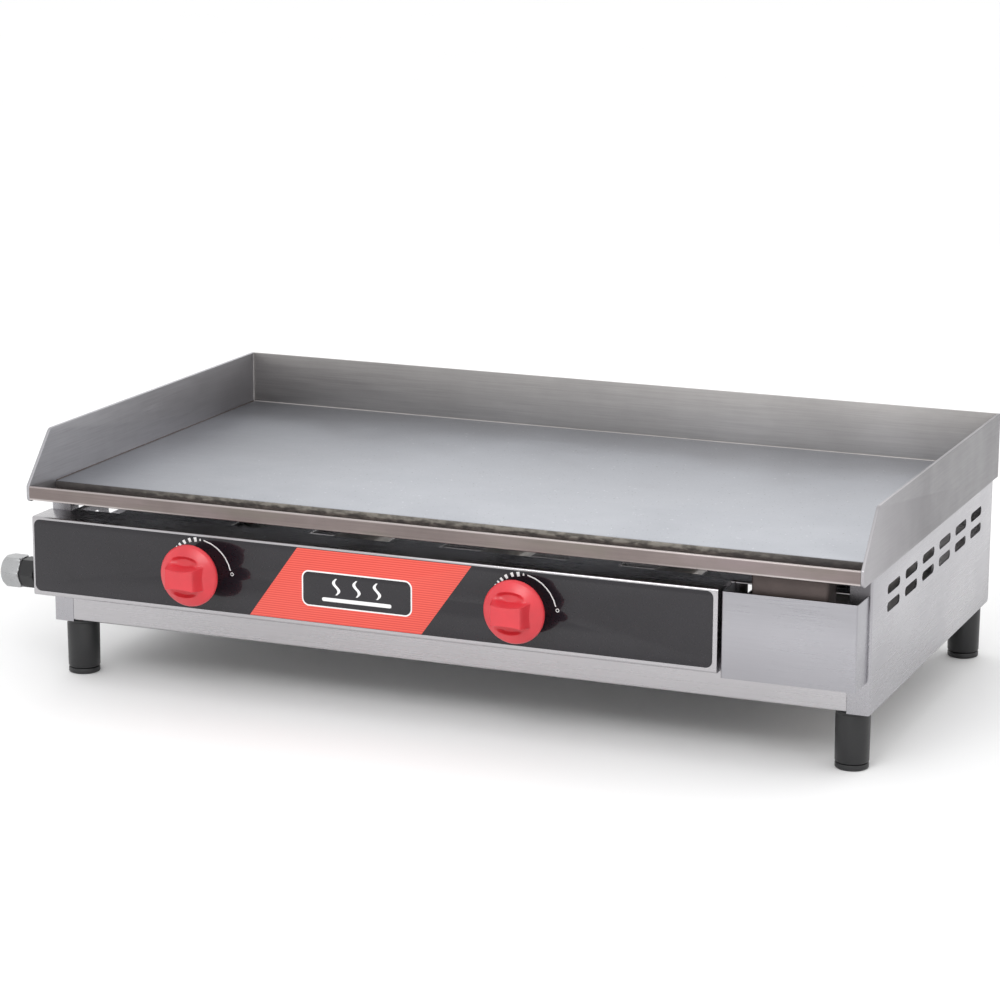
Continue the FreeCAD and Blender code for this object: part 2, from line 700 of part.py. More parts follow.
def make_front_panel():
    """The body's front sheet, with the drawer mouth, burner holes and a shelf with openings."""
    body = new_body("front_panel_body")
    half = "body_half - flange - seam"
    sheet_y = ("body_front", "body_front + gauge")
    width = (f"-({half})", half)
    block(body, "sheet", width, sheet_y, ("rail_low", "panel_top"))
    block(body, "shelf", width, ("body_front", "shelf_back"), ("panel_top - gauge", "panel_top"))
    foot_flange = ("body_front", "body_front + gauge + flange")
    block(body, "foot_flange", width, foot_flange, ("rail_low", "rail_low + gauge"))
    block(body, "mouth", ("mouth_left", half), sheet_y, ("mouth_low", "mouth_top"), removes=True)

    def draw_burner_holes(sketch):
        for index, centre in enumerate(("knob_left", "knob_right")):
            add_circle(sketch, (centre, "knob_level"), "mixer_radius + burner_gap", f"burner_{index}")

    extrude(body, "burner_holes", "XZ", sheet_y, draw_burner_holes, removes=True)

    def draw_shelf_slots(sketch):
        for name in SHELF_SLOTS:
            left = f"{name}_slot_left"
            x = (left, f"{left} + {name}_slot_length")
            add_outline(sketch, rectangle(x, ("shelf_slot_front", "shelf_slot_back")), f"{name}_slot")

    extrude(body, "shelf_slots", "XY", ("panel_top - gauge", "panel_top"), draw_shelf_slots, removes=True)

    def draw_foot_holes(sketch):
        for index, side in enumerate((-1, 1)):
            add_circle(sketch, (f"{side} * foot_side", "foot_front"), "stud_hole", f"foot_{index}")

    extrude(body, "foot_holes", "XY", ("rail_low", "rail_low + gauge"), draw_foot_holes, removes=True)
    keep("front_panel", body)


def make_rear_panel():
    """The body's rear sheet, screwed over the side panels' flanges, with flue vents."""
    body = new_body("rear_panel_body")
    outer = "body_half - seam"
    inner = "body_half - flange - 2 * seam"
    sheet_y = ("body_back - gauge", "body_back")
    top = "plate_low - gauge"
    block(body, "sheet", (f"-({outer})", outer), sheet_y, ("rail_low", top))
    flange_y = ("body_back - gauge - flange", "body_back - gauge")
    width = (f"-({inner})", inner)
    block(body, "foot_flange", width, flange_y, ("rail_low", "rail_low + gauge"))
    block(body, "head_flange", width, flange_y, (f"{top} - gauge", top))

    def draw_vents(sketch):
        middle = (REAR_VENTS - 1) / 2
        for row, level in enumerate(("vent_upper", "vent_lower")):
            for column in range(REAR_VENTS):
                centre = (f"{column - middle} * flue_pitch", level)
                add_slot(sketch, centre, "flue_length", "vent_height", f"vent_{row}_{column}")

    extrude(body, "vents", "XZ", sheet_y, draw_vents, removes=True)

    def draw_screw_holes(sketch):
        for side in (-1, 1):
            for index, level in enumerate(screw_levels()):
                centre = (f"{side} * (body_half - flange / 2)", level)
                add_circle(sketch, centre, "screw_radius + fit", f"screw_{side + 1}_{index}")

    extrude(body, "screw_holes", "XZ", sheet_y, draw_screw_holes, removes=True)

    def draw_foot_holes(sketch):
        for index, side in enumerate((-1, 1)):
            add_circle(sketch, (f"{side} * foot_side", "foot_back"), "stud_hole", f"foot_{index}")

    extrude(body, "foot_holes", "XY", ("rail_low", "rail_low + gauge"), draw_foot_holes, removes=True)
    keep("rear_panel", body)


def make_screws():
    """Slotted pan-head screws through the rear panel into the side panels' flanges."""
    head_top = "body_back + screw_head_height"
    screws = []
    for side in (-1, 1):
        for index, level in enumerate(screw_levels()):
            name = f"screw_{side + 1}_{index}"
            centre = (f"{side} * (body_half - flange / 2)", level)
            shank_y = ("body_back - screw_length", "body_back")
            shank = rod(f"{name}_shank", "y", shank_y, centre, "screw_radius")
            small_end = "screw_head - screw_head_taper"
            head = cone(f"{name}_head", "y", ("body_back", head_top), centre, "screw_head", small_end)
            slot_x = about(centre[0], "screw_slot / 2")
            slot_z = about(centre[1], "screw_slot_gauge / 2")
            slot = box(f"{name}_slot", slot_x, (f"{head_top} - screw_slot_depth", head_top), slot_z)
            screws.append(cut(name, fuse(f"{name}_blank", shank, head), slot))
    keep_group("panel_screws", screws)


def make_inner_walls():
    """The wall beside the drawer and the shield behind the control box."""
    depth = ("body_front + gauge", "body_back - gauge")
    wall_x = ("partition_left", "partition_left + gauge")
    wall = box("partition_sheet", wall_x, depth, ("rail_low + gauge", "partition_top"))
    keep_group("drawer_partition", [wall])
    shield_y = ("shield_front", "shield_front + gauge")
    shield_x = ("-body_half + gauge", "partition_left")
    shield = box("shield_sheet", shield_x, shield_y, ("shield_low", "shield_top"))
    holes = [
        rod(f"shield_hole_{index}", "y", shield_y, (centre, "knob_level"), "mixer_radius + 2 * fit")
        for index, centre in enumerate(("knob_left", "knob_right"))
    ]
    keep_group("heat_shield", [cut("shield_wall", shield, *holes)])


# ---------------------------------------------------------------- control box

def draw_stem_holes(sketch):
    for index, centre in enumerate(("knob_left", "knob_right")):
        add_circle(sketch, (centre, "knob_level"), "stem_hole", f"stem_{index}")


def make_control_box():
    """A sheet box, open at the back, that closes against the body's front panel."""
    body = new_body("control_box_body")
    depth = ("box_front", "body_front")
    block(body, "shell", ("box_left", "box_right"), depth, ("box_low", "box_top"))
    edges = [("box_front", z) for z in ("box_low", "box_top")]
    round_off(body, "folds", "x", edges, "box_fold")
    hollow_x = ("box_left + gauge", "box_right - gauge")
    hollow_y = ("box_front + gauge", "body_front")
    block(body, "hollow", hollow_x, hollow_y, ("box_low + gauge", "box_top - gauge"), removes=True)

    def draw_pipe_hole(sketch):
        add_circle(sketch, ("pipe_depth", "pipe_level"), "pipe_radius + pipe_gap", "pipe")

    front = ("box_front", "box_front + gauge")
    extrude(body, "stem_holes", "XZ", front, draw_stem_holes, removes=True)
    extrude(body, "pipe_hole", "YZ", ("box_left", "box_left + gauge"), draw_pipe_hole, removes=True)
    keep("control_box", body)


def make_label():
    """The printed film on the control box, with rounded corners and stem holes."""
    body = new_body("label_body")
    depth = ("box_front - label_gauge", "box_front")
    film = rectangle(("label_left", "label_right"), ("label_low", "label_top"))
    extrude(body, "film", "XZ", depth, lambda sketch: add_outline(sketch, film))
    corners = [(x, z) for x in ("label_left", "label_right") for z in ("label_low", "label_top")]
    round_off(body, "corners", "y", corners, "label_corner")
    extrude(body, "stem_holes", "XZ", depth, draw_stem_holes, removes=True)
    keep("control_label", body)


# ---------------------------------------------------------------- gas train

def make_manifold():
    """The pipe that feeds both valves, its end plug and the clips that hold it."""
    centre = ("pipe_depth", "pipe_level")
    span = ("pipe_start", "pipe_end")
    outer = rod("pipe_outer", "x", span, centre, "pipe_radius")
    bore = rod("pipe_inner", "x", span, centre, "pipe_bore")
    tap_z = ("pipe_level", "pipe_level + 2 * stub_radius")
    taps = [
        rod(f"pipe_tap_{index}", "z", tap_z, (x, "pipe_depth"), "stub_radius + stub_fit")
        for index, x in enumerate(("knob_left", "knob_right"))
    ]
    keep_group("manifold_pipe", [cut("pipe_tube", cut("pipe_wall", outer, bore), *taps)])

    spigot = rod("plug_spigot", "x", ("pipe_end - spigot_length", "pipe_end"), centre, "pipe_bore - fit")
    head = hexagon("plug_hexagon", "x", ("pipe_end", "pipe_end + plug_head"), centre, "plug_flats")
    keep_group("manifold_plug", [fuse("end_plug", spigot, head)])

    clips = []
    for index, x in enumerate(("clip_left", "clip_right")):
        span = about(x, "clip_half")
        band = rod(f"clip_band_{index}", "x", span, centre, "pipe_radius + clip_gauge")
        web_y = ("pipe_depth + pipe_radius", "body_front")
        web = box(f"clip_web_{index}", span, web_y, about("pipe_level", "clip_web"))
        tab_y = ("body_front - clip_gauge", "body_front")
        tab = box(f"clip_tab_{index}", span, tab_y, about("pipe_level", "clip_tab"))
        hole = rod(f"clip_hole_{index}", "x", span, centre, "pipe_radius + fit")
        clips.append(cut(f"clip_{index}", fuse(f"clip_blank_{index}", band, web, tab), hole))
    keep_group("manifold_clips", clips)


def make_inlet():
    """Outside the box's left end: a hexagonal coupling and the nut that takes the supply hose."""
    centre = ("pipe_depth", "pipe_level")
    step = "box_left - coupling_ring"
    hexes = hexagon("coupling_hex", "x", ("nut_seat", step), centre, "coupling_flats")
    ring = rod("coupling_ring", "x", (step, "box_left"), centre, "coupling_flats / 2 - ring_step")
    seat = rod("coupling_seat", "x", ("pipe_start", "box_left"), centre, "pipe_radius + fit")
    way = rod("coupling_way", "x", ("nut_seat", "pipe_start"), centre, "pipe_bore")
    keep_group("inlet_coupling", [cut("coupling", fuse("coupling_blank", hexes, ring), seat, way)])

    nut = hexagon("nut_hex", "x", ("inlet_face", "nut_seat"), centre, "nut_flats")
    crown_end = "inlet_face + nut_crown"
    crown = cone("nut_cone", "x", ("inlet_face", crown_end), centre, "nut_mouth", "nut_round")
    rest = rod("nut_rest", "x", (crown_end, "nut_seat"), centre, "nut_round")
    shaped = common("nut_shaped", nut, fuse("nut_envelope", crown, rest))
    thread_end = "inlet_face + thread_depth"
    thread = rod("nut_thread", "x", ("inlet_face", thread_end), centre, "thread_radius")
    way = rod("nut_passage", "x", (thread_end, "nut_seat"), centre, "nut_way")
    keep_group("inlet_nut", [cut("nut", shaped, thread, way)])


def make_valve(side, x):
    """A plug valve on the manifold, with its sprung stem and the injector that it feeds."""
    axis = (x, "knob_level")
    make_valve_body(side, x, axis)

    bonnet_y = ("valve_front - bonnet_gauge", "valve_front")
    bonnet = rod(f"{side}_bonnet_disc", "y", bonnet_y, axis, "valve_radius")
    hole = rod(f"{side}_bonnet_hole", "y", bonnet_y, axis, "stem_radius + fit")
    keep_group(f"valve_bonnet_{side}", [cut(f"{side}_bonnet", bonnet, hole)])

    plug = rod(f"{side}_plug_solid", "y", ("plug_front", "plug_back"), axis, "plug_radius")
    opening = "tang_width / 2 + tang_gap"
    socket_y = ("plug_front", "socket_back")
    socket = box(f"{side}_socket", about(x, opening), socket_y, about("knob_level", opening))
    port = rod(f"{side}_plug_port", "y", ("socket_back", "plug_back"), axis, "outlet_way")
    keep_group(f"valve_plug_{side}", [cut(f"{side}_plug", plug, socket, port)])

    shaft = rod(f"{side}_shaft", "y", ("stem_front", "collar_front"), axis, "stem_radius")
    collar = rod(f"{side}_collar", "y", ("collar_front", "collar_back"), axis, "collar_radius")
    tang_y = ("collar_back", "tang_back")
    tang = box(f"{side}_tang", about(x, "tang_width / 2"), tang_y, about("knob_level", "tang_width / 2"))
    blank = fuse(f"{side}_stem_blank", shaft, collar, tang)
    keep_group(f"valve_stem_{side}", [cut(f"{side}_stem", blank, stem_flat(f"{side}_stem_flat", x))])

    nose_start = "injector_tip - nose_length"
    base = hexagon(f"{side}_injector_hex", "y", ("valve_back", nose_start), axis, "injector_flats")
    nose = cone(f"{side}_injector_nose", "y", (nose_start, "injector_tip"), axis, "nose_base", "nose_tip")
    jet = rod(f"{side}_jet", "y", ("valve_back", "injector_tip"), axis, "jet_radius")
    blank = fuse(f"{side}_injector_blank", base, nose)
    keep_group(f"injector_{side}", [cut(f"{side}_injector", blank, jet)])
    make_stem_spring(side, x)


def make_valve_body(side, x, axis):
    """The barrel, the stub down into the pipe and a boss, with the bore and the gas ways."""
    barrel = rod(f"{side}_barrel", "y", ("valve_front", "valve_back"), axis, "valve_radius")
    stub_low = "pipe_level + stub_inset"
    stub = rod(f"{side}_stub", "z", (stub_low, "knob_level - stub_bite"), (x, "pipe_depth"), "stub_radius")
    boss_y = ("plug_front - boss_lead", "valve_back")
    boss_z = ("knob_level", "knob_level + valve_radius")
    boss = box(f"{side}_boss", about(x, "boss_half"), boss_y, boss_z)
    blank = fuse(f"{side}_valve_blank", barrel, stub, boss)
    bore = rod(f"{side}_bore", "y", ("valve_front", "plug_back + bore_end"), axis, "valve_bore")
    outlet = rod(f"{side}_outlet", "y", ("plug_back", "valve_back"), axis, "outlet_way")
    inlet_z = (stub_low, "knob_level - inlet_top")
    inlet = rod(f"{side}_inlet", "z", inlet_z, (x, "plug_front + inlet_offset"), "inlet_way")
    ways = fuse(f"{side}_ways", bore, outlet, inlet)
    keep_group(f"valve_body_{side}", [cut(f"{side}_valve", blank, ways)])


def stem_flat(name, x):
    """The space above the flat that keys a knob to its stem."""
    flat_z = ("knob_level + flat_level", "knob_level + flat_half")
    return box(name, about(x, "flat_half"), ("stem_front", "knob_back"), flat_z)


def make_stem_spring(side, x):
    """The coil spring between the stem's collar and the plug."""
    body = new_body(f"{side}_spring_body")
    sketch = sketch_on(body, "wire", "XY", "knob_level")
    start = "collar_back + spring_wire + spring_gap"
    add_circle(sketch, (f"{x} + spring_radius", start), "spring_wire", "wire")
    axis_line = sketch.addGeometry(
        Part.LineSegment(FreeCAD.Vector(number(x), 0, 0), FreeCAD.Vector(number(x), 10, 0)), True)
    pin_point(sketch, axis_line, 1, (x, "0"), "axis_start")
    pin_point(sketch, axis_line, 2, (x, "10"), "axis_end")
    DOC.recompute()
    coil = body.newObject("PartDesign::AdditiveHelix", "coil")
    coil.Profile = sketch
    coil.ReferenceAxis = (sketch, ["Axis0"])
    coil.Mode = 0
    bind(coil, "Pitch", "spring_pitch")
    bind(coil, "Height", "plug_front - collar_back - 2 * spring_wire - 2 * spring_gap")
    DOC.recompute()
    keep(f"stem_spring_{side}", body)


# ---------------------------------------------------------------- knobs

def make_knob(side, x):
    """A domed disc on a hub, with a bar grip across it and a finger scoop above and below."""
    axis = (x, "knob_level")
    hub = rod(f"{side}_hub", "y", ("knob_rim + hub_root", "knob_back"), axis, "hub_radius")
    skirt_y = ("knob_rim", "knob_rim + skirt_depth")
    skirt = cone(f"{side}_skirt", "y", skirt_y, axis, "knob_radius", "knob_radius - skirt_draft")
    disc = fuse(f"{side}_disc", hub, skirt, dome_of(side, x))
    scooped = cut(f"{side}_scooped", disc, *scoops_of(side, x))
    blank = fuse(f"{side}_knob_blank", scooped, grip_of(side, x))
    bore = rod(f"{side}_knob_bore", "y", ("stem_front", "knob_back"), axis, "stem_radius")
    keyed = cut(f"{side}_knob_socket", bore, stem_flat(f"{side}_knob_key", x))
    keep_group(f"knob_{side}", [cut(f"{side}_knob", blank, keyed)])


def dome_of(side, x):
    """The front of the disc: a shallow spherical cap on the rim."""
    cap_height = "(knob_rim - knob_crown)"
    ball_radius = f"((knob_radius ^ 2 + {cap_height} ^ 2) / (2 * {cap_height}))"
    ball = DOC.addObject("Part::Sphere", f"{side}_ball")
    bind(ball, "Radius", ball_radius)
    bind(ball, "Placement.Base.x", x)
    bind(ball, "Placement.Base.y", f"knob_crown + {ball_radius}")
    bind(ball, "Placement.Base.z", "knob_level")
    limit_y = ("knob_crown - grip_root", "knob_rim")
    limit = rod(f"{side}_dome_limit", "y", limit_y, (x, "knob_level"), "knob_radius")
    return common(f"{side}_dome", ball, limit)


def scoops_of(side, x):
    """Egg-shaped hollows in the dome, above and below the grip."""
    scoops = []
    for name, sign in (("upper", "+"), ("lower", "-")):
        scoop = DOC.addObject("Part::Ellipsoid", f"{side}_{name}_scoop")
        bind(scoop, "Radius1", "scoop_height")
        bind(scoop, "Radius2", "scoop_width")
        bind(scoop, "Radius3", "scoop_depth")
        bind(scoop, "Placement.Base.x", x)
        bind(scoop, "Placement.Base.y", "knob_crown + scoop_sink")
        bind(scoop, "Placement.Base.z", f"knob_level {sign} (grip_height + scoop_height) / 2")
        scoops.append(scoop)
    return scoops


def grip_of(side, x):
    """The bar, wide where it leaves the dome and narrower at its face."""
    body = new_body(f"{side}_grip_body")
    shoulder = "knob_face + grip_shoulder"
    corners = [
        (f"{x} - grip_foot", "knob_rim - grip_root"),
        (f"{x} + grip_foot", "knob_rim - grip_root"),
        (f"{x} + grip_half + grip_spread", shoulder),
        (f"{x} + grip_half", "knob_face"),
        (f"{x} - grip_half", "knob_face"),
        (f"{x} - grip_half - grip_spread", shoulder),
    ]
    span = about("knob_level", "grip_height / 2")
    extrude(body, "bar", "XY", span, lambda sketch: add_outline(sketch, corners))
    spots = [("knob_face", level) for level in span]
    round_off(body, "face_edges", "x", spots, "grip_edge")
    return body


# ---------------------------------------------------------------- burners

def make_burner(side, x):
    """A U-shaped steel tube burner with a mixing tube at its front and ports along its legs."""
    body = new_body(f"{side}_burner_body")
    outer_path = burner_path(body, "outer_path", x, "leg_back")
    inner_path = burner_path(body, "inner_path", x, "leg_back - tube_gauge")
    pipe_along(body, "tube", outer_path, x, "leg_back", "tube_radius", removes=False)

    def draw_mixer(sketch):
        add_circle(sketch, (x, "knob_level"), "mixer_radius", "mixer")

    extrude(body, "mixer", "XZ", ("mixer_mouth", "cross_depth"), draw_mixer)
    inner_radius = "tube_radius - tube_gauge"
    pipe_along(body, "tube_bore", inner_path, x, "leg_back - tube_gauge", inner_radius, removes=True)

    def draw_mixer_bore(sketch):
        add_circle(sketch, (x, "knob_level"), "mixer_radius - tube_gauge", "bore")

    def draw_windows(sketch):
        window_y = ("shutter_front + window_inset", "shutter_back - window_inset")
        add_outline(sketch, rectangle(about(x, "window_width / 2"), window_y))

    def draw_ports(sketch):
        for index, sign in enumerate("-+"):
            add_circle(sketch, (f"{x} {sign} leg_offset", "port_first"), "port_radius", f"port_{index}")

    extrude(body, "mixer_bore", "XZ", ("mixer_mouth", "cross_depth"), draw_mixer_bore, removes=True)
    window_z = about("knob_level", "mixer_radius")
    extrude(body, "air_windows", "XY", window_z, draw_windows, removes=True)
    top = ("knob_level", "knob_level + tube_radius")
    ports = extrude(body, "ports", "XY", top, draw_ports, removes=True)
    rows = body.newObject("PartDesign::LinearPattern", "port_rows")
    rows.Originals = [ports]
    rows.Direction = (origin_feature(body, "Y_Axis"), [""])
    bind(rows, "Length", "port_span")
    bind(rows, "Occurrences", "port_count")
    body.Tip = rows
    DOC.recompute()
    keep(f"burner_{side}", body)


def burner_path(body, name, x, back):
    """The U: back along one leg, across the front and back along the other."""
    sketch = sketch_on(body, name, "XY", "knob_level")
    left = number(f"{x} - leg_offset")
    right = number(f"{x} + leg_offset")
    front = number("cross_depth")
    bend = number("bend_radius")
    rear = number(back)
    up = FreeCAD.Vector(0, 0, 1)
    left_centre = FreeCAD.Vector(left + bend, front + bend, 0)
    right_centre = FreeCAD.Vector(right - bend, front + bend, 0)
    lines = (
        Part.LineSegment(FreeCAD.Vector(left, rear, 0), FreeCAD.Vector(left, front + bend, 0)),
        Part.ArcOfCircle(Part.Circle(left_centre, up, bend), math.pi, 1.5 * math.pi),
        Part.LineSegment(FreeCAD.Vector(left + bend, front, 0), FreeCAD.Vector(right - bend, front, 0)),
        Part.ArcOfCircle(Part.Circle(right_centre, up, bend), 1.5 * math.pi, 2 * math.pi),
        Part.LineSegment(FreeCAD.Vector(right, front + bend, 0), FreeCAD.Vector(right, rear, 0)),
    )
    for line in lines:
        sketch.addGeometry(line, False)
    for index in range(4):
        sketch.addConstraint(Sketcher.Constraint("Tangent", index, 2, index + 1, 1))
    pin_point(sketch, 0, 1, (f"{x} - leg_offset", back), "left_end")
    pin_point(sketch, 4, 2, (f"{x} + leg_offset", back), "right_end")
    sketch.addConstraint(Sketcher.Constraint("Vertical", 0))
    sketch.addConstraint(Sketcher.Constraint("Vertical", 4))
    pin_point(sketch, 1, 3, (f"{x} - leg_offset + bend_radius", "cross_depth + bend_radius"), "left_bend")
    size(sketch, ("Radius", 3), "bend_radius", "right_bend")
    DOC.recompute()
    return sketch


def pipe_along(body, name, path, x, back, radius, removes):
    """Sweep a circle along the U from its left end."""
    profile = sketch_on(body, f"{name}_profile", "XZ", f"-({back})")
    add_circle(profile, (f"{x} - leg_offset", "knob_level"), radius, "section")
    kind = "PartDesign::SubtractivePipe" if removes else "PartDesign::AdditivePipe"
    pipe = body.newObject(kind, name)
    pipe.Profile = profile
    pipe.Spine = (path, [f"Edge{index}" for index in range(1, 6)])
    DOC.recompute()
    return pipe


def make_shutter(side, x):
    """The sleeve that turns on the mixing tube to open or close its air windows."""
    axis = (x, "knob_level")
    span = ("shutter_front", "shutter_back")
    inner = "mixer_radius + shutter_gap"
    sleeve = rod(f"{side}_sleeve", "y", span, axis, f"{inner} + shutter_gauge")
    lug_x = (f"{x} + lug_start", f"{x} + lug_end")
    lug = box(f"{side}_lug", lug_x, ("lug_front", "lug_back"), about("knob_level", "lug_half"))
    bore = rod(f"{side}_sleeve_bore", "y", span, axis, inner)
    window_y = ("shutter_front + window_inset", "shutter_back - window_inset")
    window_z = about("knob_level", "mixer_radius + window_reach")
    windows = box(f"{side}_sleeve_window", about(x, "window_width / 2"), window_y, window_z)
    blank = fuse(f"{side}_shutter_blank", sleeve, lug)
    openings = fuse(f"{side}_shutter_openings", bore, windows)
    keep_group(f"air_shutter_{side}", [cut(f"{side}_shutter", blank, openings)])


def make_burner_rest(label, depth):
    """A steel angle across the burner bay with a saddle under each burner leg."""
    width = ("-body_half + gauge", "partition_left")
    wall = box(f"{label}_wall", width, (depth, f"{depth} + gauge"), ("rest_low", "rest_top"))
    top = box(f"{label}_top", width, (depth, f"{depth} + rest_flange"), ("rest_top - gauge", "rest_top"))
    saddle_y = (f"{depth} + saddle_front", f"{depth} + saddle_back")
    saddle_z = ("rest_top", "knob_level - tube_radius - saddle_gap")
    saddles = []
    for index, x in enumerate(("knob_left", "knob_right")):
        for side, sign in (("left", "-"), ("right", "+")):
            saddle_x = about(f"{x} {sign} leg_offset", "saddle_half")
            saddles.append(box(f"{label}_saddle_{index}_{side}", saddle_x, saddle_y, saddle_z))
    keep_group(label, [fuse(f"{label}_bar", wall, top, *saddles)])


# ---------------------------------------------------------------- grease drawer

def make_drawer():
    """A folded front pan and a deep tray that collects the grease."""
    body = new_body("drawer_front_body")
    depth = ("drawer_front", "body_front - drawer_gap")
    block(body, "pan", ("drawer_left", "drawer_right"), depth, ("drawer_low", "drawer_top"))
    edges = [(x, "drawer_front") for x in ("drawer_left", "drawer_right")]
    round_off(body, "folds", "z", edges, "gauge")
    hollow_x = ("drawer_left + gauge", "drawer_right - gauge")
    hollow_y = ("drawer_front + gauge", "body_front - drawer_gap")
    block(body, "hollow", hollow_x, hollow_y, ("drawer_low + gauge", "drawer_top"), removes=True)
    keep("drawer_front", body)

    tray = new_body("tray_body")
    outer_y = ("drawer_front + gauge", "tray_back")
    block(tray, "outside", ("tray_left", "tray_right"), outer_y, ("tray_low", "tray_top"))
    corners = [(x, y) for x in ("tray_left", "tray_right") for y in outer_y]
    round_off(tray, "corners", "z", corners, "tray_corner")
    inner_x = ("tray_left + tray_gauge", "tray_right - tray_gauge")
    inner_y = ("drawer_front + gauge + tray_gauge", "tray_back - tray_gauge")
    block(tray, "inside", inner_x, inner_y, ("tray_low + tray_gauge", "tray_top"), removes=True)
    keep("grease_tray", tray)


def make_runners():
    """Angles that carry the tray: a ledge under each side and a leg beside it."""
    depth = ("body_front + gauge", "body_back - gauge")
    ledge_top = "tray_low - runner_gap"
    ledge_z = (f"{ledge_top} - gauge", ledge_top)
    leg_z = (f"{ledge_top} - gauge", f"{ledge_top} - gauge + runner_height")
    left_edge = "tray_left - runner_offset"
    leg = box("left_runner_leg", (left_edge, f"{left_edge} + gauge"), depth, leg_z)
    ledge = box("left_runner_ledge", (left_edge, f"{left_edge} + runner_width"), depth, ledge_z)
    keep_group("drawer_runner_left", [fuse("left_runner", leg, ledge)])
    right_edge = "tray_right + runner_offset"
    leg = box("right_runner_leg", (f"{right_edge} - gauge", right_edge), depth, leg_z)
    ledge = box("right_runner_ledge", (f"{right_edge} - runner_width", right_edge), depth, ledge_z)
    keep_group("drawer_runner_right", [fuse("right_runner", leg, ledge)])


# ---------------------------------------------------------------- feet

FEET = {
    "front_left": ("-foot_side", "foot_front"),
    "front_right": ("foot_side", "foot_front"),
    "back_left": ("-foot_side", "foot_back"),
    "back_right": ("foot_side", "foot_back"),
}


def make_foot(corner, place):
    """A tapered leg with a stud on top, and a levelling pad screwed into it from below."""
    leg_low = "pad_top + pad_gap"
    taper = cone(f"{corner}_taper", "z", (leg_low, "body_low"), place, "foot_taper", "foot_radius")
    stud_top = "rail_low + gauge + gusset_gauge + nut_height + stud_tail"
    stud = rod(f"{corner}_stud", "z", ("body_low", stud_top), place, "stud_radius")
    bore = rod(f"{corner}_bore", "z", (leg_low, "body_low - bore_roof"), place, "stud_radius + fit")
    keep_group(f"foot_{corner}", [cut(f"{corner}_leg", fuse(f"{corner}_blank", taper, stud), bore)])

    disc = rod(f"{corner}_disc", "z", ("0", "pad_top"), place, "foot_taper - pad_inset")
    screw = rod(f"{corner}_screw", "z", ("pad_top", "body_low - screw_end"), place, "stud_radius")
    keep_group(f"foot_pad_{corner}", [fuse(f"{corner}_pad", disc, screw)])


def make_gussets():
    """Plates in the four corners that take the feet's studs, with a nut on each."""
    plates = []
    nuts = []
    low = "rail_low + gauge"
    top = f"{low} + gusset_gauge"
    for corner, (x, y) in FEET.items():
        if "left" in corner:
            span_x = ("-body_half + gauge", "-body_half + gauge + gusset_size")
        else:
            span_x = ("body_half - gauge - gusset_size", "body_half - gauge")
        if "front" in corner:
            span_y = ("body_front + gauge", "body_front + gauge + gusset_size")
        else:
            span_y = ("body_back - 2 * gauge - gusset_size", "body_back - 2 * gauge")
        plate = box(f"{corner}_gusset_blank", span_x, span_y, (low, top))
        hole = rod(f"{corner}_gusset_hole", "z", (low, top), (x, y), "stud_hole")
        plates.append(cut(f"{corner}_gusset", plate, hole))
        nut_z = (top, f"{top} + nut_height")
        nut = hexagon(f"{corner}_nut_blank", "z", nut_z, (x, y), "nut_width")
        bore = rod(f"{corner}_nut_bore", "z", nut_z, (x, y), "stud_radius + fit")
        nuts.append(cut(f"{corner}_nut", nut, bore))
    keep_group("corner_gussets", plates)
    keep_group("foot_nuts", nuts)


# ---------------------------------------------------------------- build, test and write

def build():
    make_plate()
    make_splashes()
    make_gutter()
    make_chute()
    make_plate_studs()
    make_side_panels()
    make_front_panel()
    make_rear_panel()
    make_screws()
    make_inner_walls()
    make_control_box()
    make_label()
    make_manifold()
    make_inlet()
    for side, x in (("left", "knob_left"), ("right", "knob_right")):
        make_valve(side, x)
        make_knob(side, x)
        make_burner(side, x)
        make_shutter(side, x)
    make_burner_rest("burner_rest_front", "rest_front")
    make_burner_rest("burner_rest_back", "rest_back")
    make_drawer()
    make_runners()
    for corner, place in FEET.items():
        make_foot(corner, place)
    make_gussets()
    DOC.recompute()


def test():
    """Stop on a failed object, a bad shape or a pocket that removes nothing."""
    problems = []
    for item in DOC.Objects:
        if {"Invalid", "Error"} & set(item.State):
            problems.append(f"{item.Label}: {item.State}")
        if item.TypeId == "PartDesign::Pocket" and item.BaseFeature.Shape.Volume <= item.Shape.Volume:
            problems.append(f"{item.Label}: removes nothing")
    for sub_part in SUB_PARTS:
        shape = sub_part.Shape
        if shape.isNull() or not shape.isValid() or shape.Volume <= 0:
            problems.append(f"{sub_part.Label}: shape is not valid")
    if problems:
        raise RuntimeError("; ".join(problems))


def write():
    os.makedirs("parts", exist_ok=True)
    whole = FreeCAD.BoundBox()
    for sub_part in SUB_PARTS:
        sub_part.Shape.exportStep(f"parts/{sub_part.Label}.step")
        whole.add(sub_part.Shape.BoundBox)
    print(len(SUB_PARTS), "sub-parts", whole)


build()
test()
write()
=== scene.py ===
"""Looks of the flat top griddle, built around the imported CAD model.

Sizes and places are millimetres in the row frame, read from the CAD nodes' boxes wherever
a node gives them: x runs along the width, the front faces -Y and the floor is z = 0.
"""
import json
import math

import bmesh
import bpy
from mathutils import Matrix, Vector, noise


